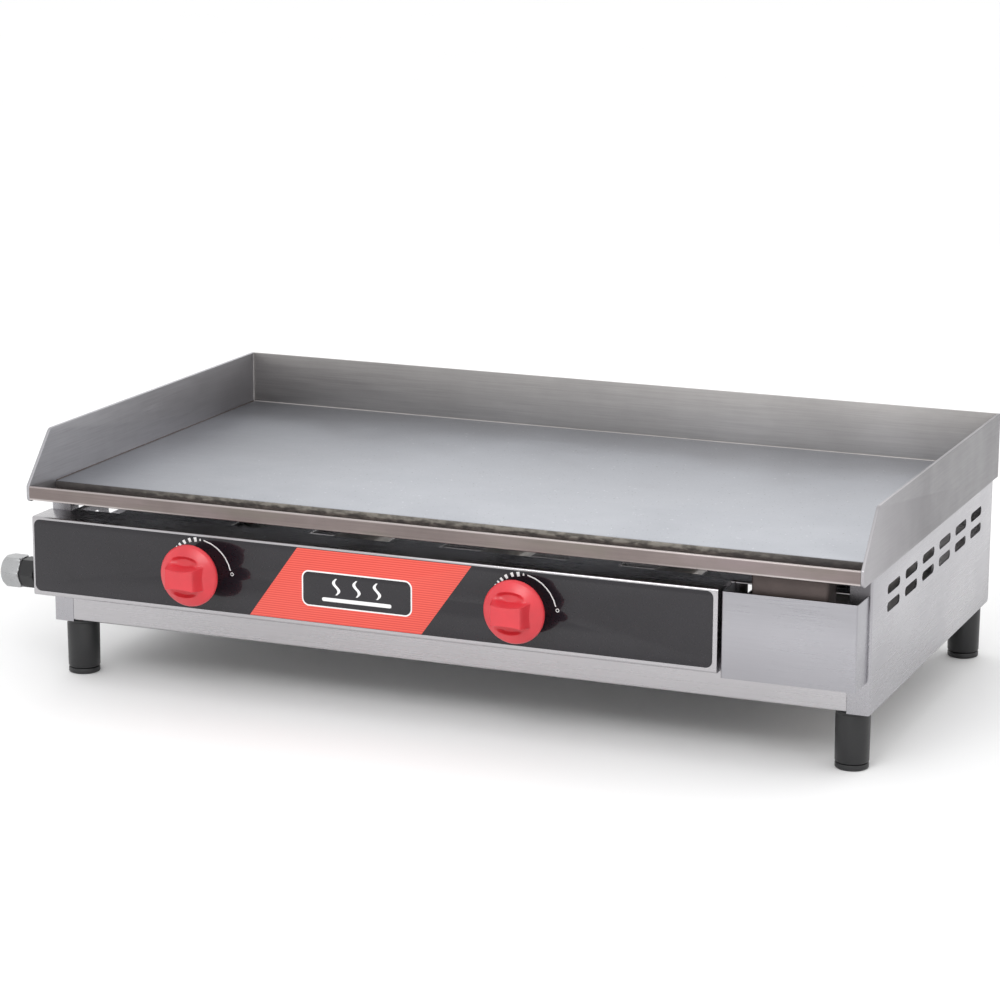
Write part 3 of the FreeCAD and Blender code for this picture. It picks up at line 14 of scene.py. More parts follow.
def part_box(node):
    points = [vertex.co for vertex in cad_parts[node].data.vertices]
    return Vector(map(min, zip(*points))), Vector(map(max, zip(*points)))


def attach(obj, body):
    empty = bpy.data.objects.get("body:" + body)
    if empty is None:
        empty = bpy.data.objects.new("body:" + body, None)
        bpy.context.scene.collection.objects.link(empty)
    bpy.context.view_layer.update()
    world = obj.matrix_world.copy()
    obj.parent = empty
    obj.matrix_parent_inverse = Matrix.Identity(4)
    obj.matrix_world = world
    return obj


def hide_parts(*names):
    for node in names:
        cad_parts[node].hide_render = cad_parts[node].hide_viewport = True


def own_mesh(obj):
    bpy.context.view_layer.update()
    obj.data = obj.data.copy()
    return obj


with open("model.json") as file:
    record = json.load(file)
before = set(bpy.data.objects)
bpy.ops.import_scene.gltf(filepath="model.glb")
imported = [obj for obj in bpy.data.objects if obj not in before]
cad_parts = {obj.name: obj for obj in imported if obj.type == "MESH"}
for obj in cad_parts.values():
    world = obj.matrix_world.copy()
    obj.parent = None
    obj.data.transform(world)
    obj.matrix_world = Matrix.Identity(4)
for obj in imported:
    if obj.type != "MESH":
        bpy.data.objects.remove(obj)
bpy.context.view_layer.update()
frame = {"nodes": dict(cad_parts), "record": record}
MM = 0.001
WHITE = (1.0, 1.0, 1.0, 1.0)


class Span:
    """A CAD node's box at rest, in millimetres."""

    def __init__(self, node):
        low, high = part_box(node)
        self.x0, self.y0, self.z0 = (value / MM for value in low)
        self.x1, self.y1, self.z1 = (value / MM for value in high)
        self.x = (self.x0 + self.x1) / 2
        self.y = (self.y0 + self.y1) / 2
        self.z = (self.z0 + self.z1) / 2


SIDES = ("left", "right")
MIDDLE = Span("griddle_plate").x
UNDER_LIP = Span("grease_tray").z1 + 8
CUT = 0.01  # bevel of a shape that only cuts


# ---------------------------------------------------------------- node helpers

class Shader:
    """A material's node tree, with short calls for the nodes that the finishes share."""

    def __init__(self, name, **sockets):
        self.material = bpy.data.materials.new(name)
        self.material.use_nodes = True
        self.nodes = self.material.node_tree.nodes
        self.links = self.material.node_tree.links
        self.bsdf = self.nodes["Principled BSDF"]
        for socket, value in sockets.items():
            self.bsdf.inputs[socket.replace("_", " ")].default_value = value
        self.place = self.nodes.new("ShaderNodeTexCoord").outputs["Object"]

    def noise(self, scale, stretch=(1, 1, 1), detail=4.0, roughness=0.5):
        """Noise in object space; scale is in features per metre, stretched along the axes."""
        mapping = self.nodes.new("ShaderNodeMapping")
        mapping.inputs["Scale"].default_value = stretch
        self.links.new(self.place, mapping.inputs["Vector"])
        texture = self.nodes.new("ShaderNodeTexNoise")
        texture.inputs["Scale"].default_value = scale
        texture.inputs["Detail"].default_value = detail
        texture.inputs["Roughness"].default_value = roughness
        self.links.new(mapping.outputs["Vector"], texture.inputs["Vector"])
        return texture.outputs["Fac"]

    def remap(self, value, source, target):
        """Map a value from one range to another, clamped."""
        node = self.nodes.new("ShaderNodeMapRange")
        node.inputs["From Min"].default_value, node.inputs["From Max"].default_value = source
        node.inputs["To Min"].default_value, node.inputs["To Max"].default_value = target
        self.links.new(value, node.inputs["Value"])
        return node.outputs["Result"]

    def math(self, kind, first, second):
        node = self.nodes.new("ShaderNodeMath")
        node.operation = kind
        for socket, value in zip(node.inputs, (first, second)):
            if isinstance(value, (int, float)):
                socket.default_value = value
            else:
                self.links.new(value, socket)
        return node.outputs["Value"]

    def blend(self, factor, first, second):
        """Mix two colours by a factor; each may be a colour or a socket."""
        node = self.nodes.new("ShaderNodeMix")
        node.data_type = "RGBA"
        self.links.new(factor, node.inputs["Factor"])
        for socket, value in zip((node.inputs[6], node.inputs[7]), (first, second)):
            if isinstance(value, tuple):
                socket.default_value = (*value, 1.0)
            else:
                self.links.new(value, socket)
        return node.outputs[2]

    def colour(self, socket):
        self.links.new(socket, self.bsdf.inputs["Base Color"])

    def tinted_so_far(self):
        """The socket that colours the surface up to now, to blend further tints over."""
        return self.bsdf.inputs["Base Color"].links[0].from_socket

    def rough(self, socket):
        self.links.new(socket, self.bsdf.inputs["Roughness"])

    def bump(self, height, strength, distance):
        """Add a bump; distance is the height of the relief in millimetres."""
        node = self.nodes.new("ShaderNodeBump")
        node.inputs["Strength"].default_value = strength
        node.inputs["Distance"].default_value = distance * MM
        self.links.new(height, node.inputs["Height"])
        if self.bsdf.inputs["Normal"].is_linked:
            earlier = self.bsdf.inputs["Normal"].links[0].from_socket
            self.links.new(earlier, node.inputs["Normal"])
        self.links.new(node.outputs["Normal"], self.bsdf.inputs["Normal"])

    def axis(self, letter):
        """One coordinate of the object-space position."""
        split = self.nodes.new("ShaderNodeSeparateXYZ")
        self.links.new(self.place, split.inputs["Vector"])
        return split.outputs[letter]

    def from_middle(self):
        """Distance along X from the plate's middle."""
        return self.math("ABSOLUTE", self.math("SUBTRACT", self.axis("X"), MIDDLE * MM), 0.0)


def shade(colour, factor):
    return tuple(min(1.0, channel * factor) for channel in colour)


def brushed(name, colour, roughness, grain, contrast=0.12, blotch=0.10, relief=0.12, metallic=1.0):
    """Sheet metal with a fine grain along one axis, soft blotches and a slightly uneven gloss."""
    shader = Shader(name, Metallic=metallic)
    lines = shader.noise(900, grain, detail=3)
    cloud = shader.noise(9, (1, 1, 1), detail=5, roughness=0.6)
    fine = shader.remap(lines, (0.3, 0.7), (0.0, 1.0))
    grained = shader.blend(fine, shade(colour, 1 - contrast), shade(colour, 1 + contrast))
    dull = shader.remap(cloud, (0.35, 0.7), (0.0, 1.0))
    shader.colour(shader.blend(shader.math("MULTIPLY", dull, blotch), grained, shade(colour, 0.45)))
    uneven = shader.math("ADD", shader.remap(lines, (0.3, 0.7), (-0.05, 0.05)),
                         shader.remap(cloud, (0.3, 0.7), (-0.05, 0.06)))
    shader.rough(shader.math("ADD", uneven, roughness))
    shader.bump(lines, relief, 0.02)
    return shader


def plain(name, colour, roughness, metallic=0.0, relief=0.03, speck=500, **sockets):
    """A moulded, painted or turned surface: faint mottling in colour, gloss and relief."""
    shader = Shader(name, Metallic=metallic, **sockets)
    cloud = shader.noise(40, detail=5)
    grit = shader.noise(speck, detail=2)
    tone = shader.remap(cloud, (0.3, 0.7), (0.0, 1.0))
    shader.colour(shader.blend(tone, shade(colour, 0.88), shade(colour, 1.08)))
    shader.rough(shader.remap(grit, (0.3, 0.7), (roughness - 0.04, roughness + 0.05)))
    shader.bump(grit, 0.25, relief)
    return shader


ALONG_X = (0.02, 1, 1)
ALONG_Y = (1, 0.02, 1)


def plate_finish():
    """Ground mild steel: grinding lines, dark pits and pale specks, with painted shade darkening the left
    end.
    """
    plate = Span("griddle_plate")
    colour = (0.42, 0.434, 0.468)
    shader = brushed("plate_steel", colour, 0.47, ALONG_X, contrast=0.05, blotch=0.05)
    pits = shader.remap(shader.noise(420, detail=1), (0.70, 0.78), (0.0, 0.7))
    pale = shader.remap(shader.noise(310, detail=1), (0.72, 0.80), (0.0, 0.6))
    earlier = shader.tinted_so_far()
    pitted = shader.blend(pits, earlier, (0.10, 0.09, 0.085))
    specked = shader.blend(pale, pitted, (0.75, 0.76, 0.78))
    # Painted shade: the left end of the plate is blended towards a darker grey, fading out over the next 300
    # mm.
    waver = shader.remap(shader.noise(5), (0.3, 0.7), (-0.03, 0.03))
    reach = shader.math("ADD", shader.axis("X"), waver)
    painted_shade_length = 300
    dull = shader.remap(reach, (plate.x0 * MM, (plate.x0 + painted_shade_length) * MM), (0.78, 0.0))
    shader.colour(shader.blend(dull, specked, (0.21, 0.215, 0.235)))
    return shader.material


def gutter_finish():
    """Raw rolled steel, brown-grey, with patches of brown, green and violet heat tint, and painted
    highlights along the top edge and, towards the ends, the bottom edge.
    """
    shader = brushed("lip_steel", (0.245, 0.205, 0.196), 0.42, ALONG_X, contrast=0.10, blotch=0.35)
    earlier = shader.tinted_so_far()
    green = shader.remap(shader.noise(26, (0.5, 1, 1.6), detail=5), (0.50, 0.72), (0.0, 0.55))
    violet = shader.remap(shader.noise(17, (0.6, 1, 1.4), detail=4), (0.52, 0.72), (0.0, 0.50))
    greened = shader.blend(green, earlier, (0.20, 0.19, 0.155))
    tinted = shader.blend(violet, greened, (0.31, 0.25, 0.26))
    gutter = Span("grease_gutter")
    height = shader.axis("Z")
    # Painted highlight: a pale band along the lip's top edge.
    painted_top_highlight = shader.remap(height, ((gutter.z1 - 1.5) * MM, (gutter.z1 - 0.6) * MM), (0.0, 0.8))
    # Painted highlight: a pale band along the lip's bottom edge, strongest towards both ends.
    foot = shader.remap(height, ((gutter.z0 + 1.0) * MM, (gutter.z0 + 2.2) * MM), (0.9, 0.0))
    ends = shader.remap(shader.from_middle(), (0.20, 0.34), (0.12, 1.0))
    top_highlighted = shader.blend(painted_top_highlight, tinted, (0.50, 0.45, 0.44))
    shader.colour(shader.blend(shader.math("MULTIPLY", foot, ends), top_highlighted, (0.62, 0.57, 0.56)))
    return shader.material


def plate_edge_finish():
    """The plate's cut front edge: olive-grey scale above, dark grease below."""
    plate = Span("griddle_plate")
    shader = Shader("plate_edge", Metallic=0.35, Roughness=0.55)
    mottle = shader.remap(shader.noise(230, (0.55, 1, 1.3), detail=6), (0.38, 0.62), (0.0, 1.0))
    upper = shader.blend(mottle, (0.15, 0.138, 0.122), (0.31, 0.288, 0.255))
    lower = shader.blend(mottle, (0.075, 0.066, 0.062), (0.17, 0.145, 0.13))
    scale_depth = 4.4
    edge = (plate.z1 - scale_depth) * MM
    rise = shader.math("ADD", shader.axis("Z"), shader.remap(mottle, (0.0, 1.0), (-0.0007, 0.0007)))
    height = shader.remap(rise, (edge, edge + 1.6 * MM), (0.0, 1.0))
    banded = shader.blend(height, lower, upper)
    ends = shader.remap(shader.from_middle(), (0.24, 0.34), (0.0, 0.85))
    shader.colour(shader.blend(ends, banded, (0.075, 0.068, 0.068)))
    shader.bump(mottle, 0.3, 0.15)
    return shader.material


def side_finish():
    """Side sheets: brushed along their depth, with painted shade on the front flange under the lip."""
    panel = Span("left_side_panel")
    shader = brushed("body_side_steel", (0.41, 0.403, 0.425), 0.28, ALONG_Y, contrast=0.03, blotch=0.05,
                     relief=0.05)
    earlier = shader.tinted_so_far()
    # Painted shade: the front flange is blended to dark grey above the lip's underside, lighter at the left
    # sheet's outer edge and left off at the outer folds.
    front = shader.remap(shader.axis("Y"), ((panel.y0 + 1.4) * MM, (panel.y0 + 2.4) * MM), (1.0, 0.0))
    high = shader.remap(shader.axis("Z"), ((UNDER_LIP - 3) * MM, (UNDER_LIP + 5) * MM), (0.0, 1.0))
    inward = shader.remap(shader.axis("X"), ((panel.x0 + 5) * MM, (panel.x0 + 15) * MM), (0.25, 1.0))
    half = MIDDLE - panel.x0
    inside = shader.remap(shader.from_middle(), ((half - 2.6) * MM, (half - 1.6) * MM), (1.0, 0.0))
    across = shader.math("MULTIPLY", inward, inside)
    factor = shader.math("MULTIPLY", shader.math("MULTIPLY", front, high), across)
    shader.colour(shader.blend(factor, earlier, (0.17, 0.163, 0.172)))
    return shader.material


def splash_right_finish():
    """The right splash: darker towards the rear, with painted light making it paler where the front slopes
    down.
    """
    sheet = Span("right_splash")
    shader = brushed("splash_right_steel", (0.215, 0.208, 0.218), 0.40, ALONG_Y, contrast=0.09,
                     blotch=0.22)
    earlier = shader.tinted_so_far()
    # Painted light: the sheet is blended paler towards its front.
    front = shader.remap(shader.axis("Y"), ((sheet.y0 + 20) * MM, (sheet.y0 + 190) * MM), (1.0, 0.0))
    shader.colour(shader.blend(front, earlier, (0.40, 0.39, 0.405)))
    return shader.material


def film_finish():
    """Glossy printed film: near black with a clear, polished top coat."""
    shader = plain("front_film", (0.010, 0.0085, 0.012), 0.30, relief=0.002,
                   Coat_Weight=0.6, Coat_Roughness=0.03, Specular_IOR_Level=0.2)
    return shader.material


def red_print_finish():
    """Red ink with fine horizontal lines, under the same clear coat as the film."""
    shader = Shader("red_print", Coat_Weight=0.7, Coat_Roughness=0.06, Roughness=0.4,
                    Specular_IOR_Level=0.2)
    height = shader.axis("Z")
    lines_per_metre = 480
    wave = shader.math("SINE", shader.math("MULTIPLY", height, 2 * math.pi * lines_per_metre), 0.0)
    stripes = shader.remap(wave, (-0.6, 0.6), (0.0, 1.0))
    cloud = shader.remap(shader.noise(30, detail=3), (0.3, 0.7), (0.85, 1.0))
    factor = shader.math("MULTIPLY", stripes, cloud)
    shader.colour(shader.blend(factor, (0.60, 0.052, 0.035), (0.75, 0.10, 0.07)))
    return shader.material


def knob_finish():
    """Satin red moulded plastic."""
    shader = plain("knob_plastic", (0.58, 0.03, 0.042), 0.34, relief=0.006, speck=900,
                   Coat_Weight=0.15, Coat_Roughness=0.3, Subsurface_Weight=0.05)
    shader.bsdf.inputs["Subsurface Radius"].default_value = (0.004, 0.001, 0.001)
    return shader.material


def galvanised_finish():
    """Galvanised sheet: broad crystal patches of slightly different tone."""
    shader = Shader("galvanised", Metallic=1.0)
    cells = shader.nodes.new("ShaderNodeTexVoronoi")
    cells.inputs["Scale"].default_value = 60
    shader.links.new(shader.place, cells.inputs["Vector"])
    tone = shader.remap(cells.outputs["Distance"], (0.0, 0.9), (0.0, 1.0))
    shader.colour(shader.blend(tone, (0.60, 0.575, 0.555), (0.74, 0.715, 0.70)))
    shader.rough(shader.remap(tone, (0.0, 1.0), (0.34, 0.48)))
    shader.bump(shader.noise(300, detail=2), 0.1, 0.02)
    return shader.material


MATERIALS = {
    "plate": plate_finish(),
    "splash": brushed("splash_steel", (0.40, 0.385, 0.378), 0.46, ALONG_X, contrast=0.09,
                      blotch=0.22).material,
    "splash_left": brushed("splash_left_steel", (0.42, 0.415, 0.435), 0.42, ALONG_Y, contrast=0.09,
                           blotch=0.22).material,
    "splash_right": splash_right_finish(),
    "lip": gutter_finish(),
    # Dark sooty steel for the greasy gutter parts; on the shelf under the lip it is painted shade.
    "soot_and_painted_shade": plain("sooty_and_shaded_steel", (0.085, 0.066, 0.062), 0.50, metallic=0.6, relief=0.08, speck=260).material,
    "plate_edge": plate_edge_finish(),
    "body": brushed("body_steel", (0.46, 0.448, 0.462), 0.28, ALONG_X, contrast=0.03, blotch=0.05,
                    relief=0.05).material,
    "drawer": brushed("drawer_steel", (0.385, 0.38, 0.405), 0.30, ALONG_X, contrast=0.025, blotch=0.04,
                      relief=0.04).material,
    "body_side": side_finish(),
    "film": film_finish(),
    "red_print": red_print_finish(),
    "ink": plain("white_print", (0.80, 0.80, 0.80), 0.4, relief=0.002, Coat_Weight=0.6,
                 Coat_Roughness=0.05).material,
    "knob": knob_finish(),
    "foot": plain("foot_plastic", (0.012, 0.012, 0.013), 0.42, relief=0.03, speck=700).material,
    "zinc": plain("zinc_plate", (0.42, 0.425, 0.43), 0.30, metallic=1.0, relief=0.05, speck=600).material,
    "pipe": plain("black_steel", (0.018, 0.018, 0.019), 0.38, metallic=0.3, relief=0.05, speck=400).material,
    "brass": plain("turned_brass", (0.66, 0.46, 0.17), 0.30, metallic=1.0, relief=0.03).material,
    "inner": galvanised_finish(),
    "burner": brushed("burner_steel", (0.40, 0.37, 0.345), 0.36, ALONG_Y, contrast=0.08,
                      blotch=0.4).material,
}


# ---------------------------------------------------------------- mesh helpers

PLANES = {
    "XY": lambda u, v, w: (u, v, w),
    "XZ": lambda u, v, w: (u, w, v),
    "YZ": lambda u, v, w: (w, u, v),
}


def signed_area(loop):
    pairs = zip(loop, loop[1:] + loop[:1])
    return sum(a[0] * b[1] - b[0] * a[1] for a, b in pairs) / 2


def corner_arc(before, corner, after, radius, steps=5):
    """Points of the arc that rounds a corner of a path."""
    a = Vector(before) - Vector(corner)
    b = Vector(after) - Vector(corner)
    opening = a.angle(b)
    if radius < 1e-6 or abs(opening - math.pi) < 1e-4:
        return [tuple(corner)]
    a.normalize()
    b.normalize()
    reach = radius / math.tan(opening / 2)
    centre = Vector(corner) + (a + b).normalized() * (radius / math.sin(opening / 2))
    start = Vector(corner) + a * reach - centre
    end = Vector(corner) + b * reach - centre
    turn = start.angle_signed(end)
    points = []
    for index in range(steps + 1):
        angle = -turn * index / steps
        c, s = math.cos(angle), math.sin(angle)
        points.append((centre.x + c * start.x - s * start.y, centre.y + s * start.x + c * start.y))
    return points


def rounded_loop(points, radii, steps=5):
    """A closed outline with each corner rounded by its own radius."""
    if not isinstance(radii, (list, tuple)):
        radii = [radii] * len(points)
    loop = []
    count = len(points)
    for index, (corner, radius) in enumerate(zip(points, radii)):
        loop += corner_arc(points[index - 1], corner, points[(index + 1) % count], radius, steps)
    return loop


def rectangle(u0, u1, v0, v1):
    return [(u0, v0), (u1, v0), (u1, v1), (u0, v1)]


def within(span, margin):
    """A box's outline seen from above, drawn in by a margin."""
    return rectangle(span.x0 + margin, span.x1 - margin, span.y0 + margin, span.y1 - margin)


def slot(u, v, length, height):
    """An outline with round ends, lying along the first axis."""
    corners = rectangle(u - length / 2, u + length / 2, v - height / 2, v + height / 2)
    return rounded_loop(corners, height / 2 - 0.01, 6)


def circle(u, v, radius, count=32):
    turns = (2 * math.pi * index / count for index in range(count))
    return [(u + radius * math.cos(angle), v + radius * math.sin(angle)) for angle in turns]


def offset_path(points, distance):
    """The open path moved to its left by a distance, with mitred corners."""
    sides = []
    for a, b in zip(points, points[1:]):
        along = (Vector(b) - Vector(a)).normalized()
        sides.append(Vector((-along.y, along.x)))
    moved = [Vector(points[0]) + sides[0] * distance]
    for index in range(1, len(points) - 1):
        first, second = sides[index - 1], sides[index]
        mitre = (first + second) / (1 + first.dot(second))
        moved.append(Vector(points[index]) + mitre * distance)
    moved.append(Vector(points[-1]) + sides[-1] * distance)
    return [tuple(point) for point in moved]


def bent_strip(points, thickness, radius, steps=6):
    """Outline of a sheet folded along a path, its thickness on the path's left."""
    outer = round_path(points, radius, steps)
    inner = round_path(offset_path(points, thickness), max(radius - thickness, 0.3), steps)
    return outer + inner[::-1]


def round_path(points, radius, steps):
    path = [points[0]]
    for before, corner, after in zip(points, points[1:], points[2:]):
        path += corner_arc(before, corner, after, radius, steps)
    return path + [points[-1]]


def extruded(plane, loops, span, bevel=0.25):
    """Mesh of closed loops, the outline first and then its holes, extruded with eased edges."""
    curve = bpy.data.curves.new("outline", "CURVE")
    curve.dimensions = "2D"
    curve.fill_mode = "BOTH"
    curve.extrude = (span[1] - span[0]) / 2 - bevel
    curve.bevel_depth = bevel
    curve.bevel_resolution = 1
    curve.offset = -bevel
    for index, loop in enumerate(loops):
        is_left_turning = signed_area(loop) > 0
        if is_left_turning != (index == 0):
            loop = loop[::-1]
        spline = curve.splines.new("POLY")
        spline.points.add(len(loop) - 1)
        for point, (u, v) in zip(spline.points, loop):
            point.co = (u, v, 0, 1)
        spline.use_cyclic_u = True
    holder = bpy.data.objects.new("outline", curve)
    bpy.context.scene.collection.objects.link(holder)
    bpy.context.view_layer.update()
    evaluated = holder.evaluated_get(bpy.context.evaluated_depsgraph_get())
    mesh = bpy.data.meshes.new_from_object(evaluated)
    bpy.data.objects.remove(holder)
    middle = (span[0] + span[1]) / 2
    for vertex in mesh.vertices:
        u, v, w = vertex.co
        vertex.co = PLANES[plane](u, v, w + middle)
    return mesh


def as_mesh(work, name):
    """A mesh from a bmesh, which is freed."""
    mesh = bpy.data.meshes.new(name)
    work.to_mesh(mesh)
    work.free()
    return mesh


def joined(meshes):
    """One mesh from several."""
    work = bmesh.new()
    for mesh in meshes:
        work.from_mesh(mesh)
        bpy.data.meshes.remove(mesh)
    return as_mesh(work, "joined")


def cleaned(mesh):
    """Weld doubled points, drop slivers and face all normals outward."""
    work = bmesh.new()
    work.from_mesh(mesh)
    bmesh.ops.remove_doubles(work, verts=work.verts, dist=0.001)
    bmesh.ops.dissolve_degenerate(work, edges=work.edges, dist=0.0005)
    bmesh.ops.recalc_face_normals(work, faces=work.faces)
    work.to_mesh(mesh)
    work.free()
    return mesh


def carved(mesh, cutter, eased=0.0):
    """The mesh less the cutter, with the sharp edges eased if asked."""
    base = bpy.data.objects.new("carved", cleaned(mesh))
    tool = bpy.data.objects.new("cutter", cleaned(cutter))
    for item in (base, tool):
        bpy.context.scene.collection.objects.link(item)
    modifier = base.modifiers.new("carve", "BOOLEAN")
    modifier.operation = "DIFFERENCE"
    modifier.solver = "EXACT"
    modifier.object = tool
    if eased:
        ease = base.modifiers.new("ease", "BEVEL")
        ease.width = eased
        ease.segments = 2
        ease.limit_method = "ANGLE"
        ease.angle_limit = math.radians(50)
    bpy.context.view_layer.update()
    evaluated = base.evaluated_get(bpy.context.evaluated_depsgraph_get())
    result = bpy.data.meshes.new_from_object(evaluated)
    bpy.data.objects.remove(base)
    bpy.data.objects.remove(tool)
    return result


def turned(axis, centre, profile, count=64):
    """A lathe shape: profile holds (station along the axis, radius) from one end to the other."""
    work = bmesh.new()
    bridge(work, [ring(work, axis, centre, station, radius, count) for station, radius in profile])
    return as_mesh(work, "turned")


def ring_point(work, axis, centre, station, radius, angle):
    a = centre[0] + radius * math.cos(angle)
    b = centre[1] + radius * math.sin(angle)
    place = {"x": (station, a, b), "y": (a, station, b), "z": (a, b, station)}[axis]
    return work.verts.new(place)


def ring(work, axis, centre, station, radius, count):
    """Points evenly around an axis."""
    return [ring_point(work, axis, centre, station, radius, 2 * math.pi * k / count) for k in range(count)]


def skin(work, rings):
    """Faces between each ring of points and the next."""
    count = len(rings[0])
    for first, second in zip(rings, rings[1:]):
        for k in range(count):
            following = (k + 1) % count
            work.faces.new((first[k], first[following], second[following], second[k]))


def bridge(work, rings):
    """Skin between rings of points, and a cap on each end."""
    skin(work, rings)
    work.faces.new(rings[0][::-1])
    work.faces.new(rings[-1])


def piece(name, mesh, material, replaced=(), body="frame", sharp=32):
    """Bring a mesh in millimetres into the scene as a named piece of the object."""
    cleaned(mesh)
    mesh.transform(Matrix.Scale(MM, 4))
    mesh.name = name
    mesh.materials.clear()
    mesh.materials.append(MATERIALS[material])
    mesh.shade_smooth()
    mesh.set_sharp_from_angle(angle=math.radians(sharp))
    obj = bpy.data.objects.new(name, mesh)
    bpy.context.scene.collection.objects.link(obj)
    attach(obj, body)
    if replaced:
        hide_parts(*replaced)
    return obj


# ---------------------------------------------------------------- griddle top

def build_plate():
    plate = Span("griddle_plate")
    outline = rounded_loop(within(plate, 0), 0.6, 2)
    mesh = extruded("XY", [outline], (plate.z0, plate.z1), bevel=0.9)
    slab = piece("cooking_plate", mesh, "plate", ["griddle_plate"])
    slab.data.materials.append(MATERIALS["plate_edge"])
    for face in slab.data.polygons:
        if face.normal.y < -0.8:
            face.material_index = 1


SPLASH_SLOPE = 42.0  # how far the side splashes slope, from front to back


def build_splashes():
    """Three sheets with eased edges; the side sheets slope down to the lip."""
    lip = Span("grease_gutter")
    for side in SIDES:
        sheet = Span(f"{side}_splash")
        slope_end = sheet.y0 + SPLASH_SLOPE
        corners = [
            (sheet.y0, sheet.z0),
            (sheet.y1, sheet.z0),
            (sheet.y1, sheet.z1),
            (slope_end, sheet.z1),
            (sheet.y0, lip.z1),
        ]
        outline = rounded_loop(corners, [5, 0.5, 0.5, 8, 3], 8)
        mesh = extruded("YZ", [outline], (sheet.x0, sheet.x1), bevel=0.5)
        piece(f"splash_{side}", mesh, f"splash_{side}", [f"{side}_splash"])
    back = Span("back_splash")
    outline = rectangle(back.x0, back.x1, back.z0, back.z1)
    mesh = extruded("XZ", [outline], (back.y0, back.y1), bevel=0.5)
    piece("splash_back", mesh, "splash", ["back_splash"])


def weld_bead(name, axis, centre, span, radius, material="splash"):
    """A ground weld along an inside corner: a rod with a slowly changing radius."""
    ripple_pitch = 3
    tip = 0.15
    steps = int((span[1] - span[0]) / ripple_pitch)
    profile = [(span[0], tip)]
    for index in range(steps + 1):
        station = span[0] + (span[1] - span[0]) * index / steps
        ripple = noise.noise(Vector((station * 0.21, centre[0] * 0.01, centre[1] * 0.01)))
        profile.append((station, radius * (1 + 0.22 * ripple)))
    profile.append((span[1], tip))
    return piece(name, turned(axis, centre, profile, 12), material, sharp=60)


def build_welds():
    plate = Span("griddle_plate")
    back = Span("back_splash")
    top = back.z1 - 0.6
    for side, x in (("left", plate.x0), ("right", plate.x1)):
        weld_bead(f"weld_corner_{side}", "z", (x, back.y0), (plate.z1, top), 1.5)
        weld_bead(f"weld_side_{side}", "y", (x, plate.z1), (plate.y0 + 2, back.y0), 0.9, "soot_and_painted_shade")
    weld_bead("weld_back", "x", (back.y0, plate.z1), (plate.x0, plate.x1), 1.0)


def build_gutter():
    """The folded lip and gutter floor, with the drain hole over the chute."""
    gutter = Span("grease_gutter")
    chute = Span("drip_chute")
    floor_gauge = 2.0
    lip_gauge = 3.0
    corners = [
        (gutter.y0, gutter.z0),
        (gutter.y1, gutter.z0),
        (gutter.y1, gutter.z0 + floor_gauge),
        (gutter.y0 + lip_gauge, gutter.z0 + floor_gauge),
        (gutter.y0 + lip_gauge, gutter.z1),
        (gutter.y0, gutter.z1),
    ]
    outline = rounded_loop(corners, [1.2, 0.3, 0.3, 1.5, 0.8, 0.8], 5)
    mesh = extruded("YZ", [outline], (gutter.x0, gutter.x1), bevel=0.2)
    margin = 3.0
    hole = rounded_loop(within(chute, margin), 2)
    cutter = extruded("XY", [hole], (gutter.z0 - 2, gutter.z0 + floor_gauge + 2), bevel=CUT)
    strip = piece("grease_lip", carved(mesh, cutter), "lip", ["grease_gutter"])
    strip.data.materials.append(MATERIALS["soot_and_painted_shade"])
    inside = (gutter.y0 + lip_gauge - 0.4) * MM
    low_enough = (gutter.z1 - 1.0) * MM
    for face in strip.data.polygons:
        if face.center.y > inside and face.center.z < low_enough:
            face.material_index = 1


def build_chute():
    chute = Span("drip_chute")
    gauge = 1.5
    outer = rounded_loop(within(chute, 0), 3)
    inner = rounded_loop(within(chute, gauge), 1.5)
    mesh = extruded("XY", [outer, inner], (chute.z0, chute.z1), bevel=0.3)
    piece("grease_spout", mesh, "soot_and_painted_shade", ["drip_chute"])


# ---------------------------------------------------------------- body

GAUGE = 1.2
FLANGE = 20.0
FOLD = 1.8
VENT_LEVELS = (152.7, 136.8)
VENT_HEIGHT = 8.5


def end_flanges(panel, loop):
    """A sheet panel's folded flanges, bottom and top."""
    levels = ((panel.z0, panel.z0 + GAUGE), (panel.z1 - GAUGE, panel.z1))
    return [extruded("XY", [loop], level, bevel=0.2) for level in levels]


def knob_holes(radius, y):
    """Cutters through a sheet at y, one on each knob's axis."""
    knobs = [Span(f"knob_{side}") for side in SIDES]
    return [extruded("XZ", [circle(knob.x, knob.z, radius)], (y - 3, y + 3), bevel=CUT) for knob in knobs]


def build_side_panels():
    """Folded side sheets with a flange on each edge and two rows of vents."""
    first_vent, pitch, length = 67.3, 57.5, 40
    for side, outward in (("left", -1), ("right", 1)):
        panel = Span(f"{side}_side_panel")
        outer = panel.x0 if side == "left" else panel.x1
        inner = outer - outward * FLANGE
        path = [(inner, panel.y1), (outer, panel.y1), (outer, panel.y0), (inner, panel.y0)]
        if side == "right":
            path = path[::-1]
        strip = bent_strip(path, GAUGE, FOLD)
        wall = extruded("XY", [strip], (panel.z0, panel.z1), bevel=0.2)
        slots = [slot(panel.y0 + first_vent + index * pitch, level, length, VENT_HEIGHT)
                 for level in VENT_LEVELS for index in range(6)]
        reach = (outer - 4, outer + 4)
        cutter = joined([extruded("YZ", [loop], reach, bevel=CUT) for loop in slots])
        wall = carved(wall, cutter)
        flange_x = sorted((outer - outward * GAUGE, inner))
        flange_loop = rectangle(*flange_x, panel.y0 + GAUGE, panel.y1 - GAUGE)
        mesh = joined([wall, *end_flanges(panel, flange_loop)])
        piece(f"side_sheet_{side}", mesh, "body_side", [f"{side}_side_panel"])


# left end, from the middle, and length of each opening in the shelf
SHELF_OPENINGS = ((-372, 42), (-214, 31), (-135, 81), (-6, 122), (164, 80))


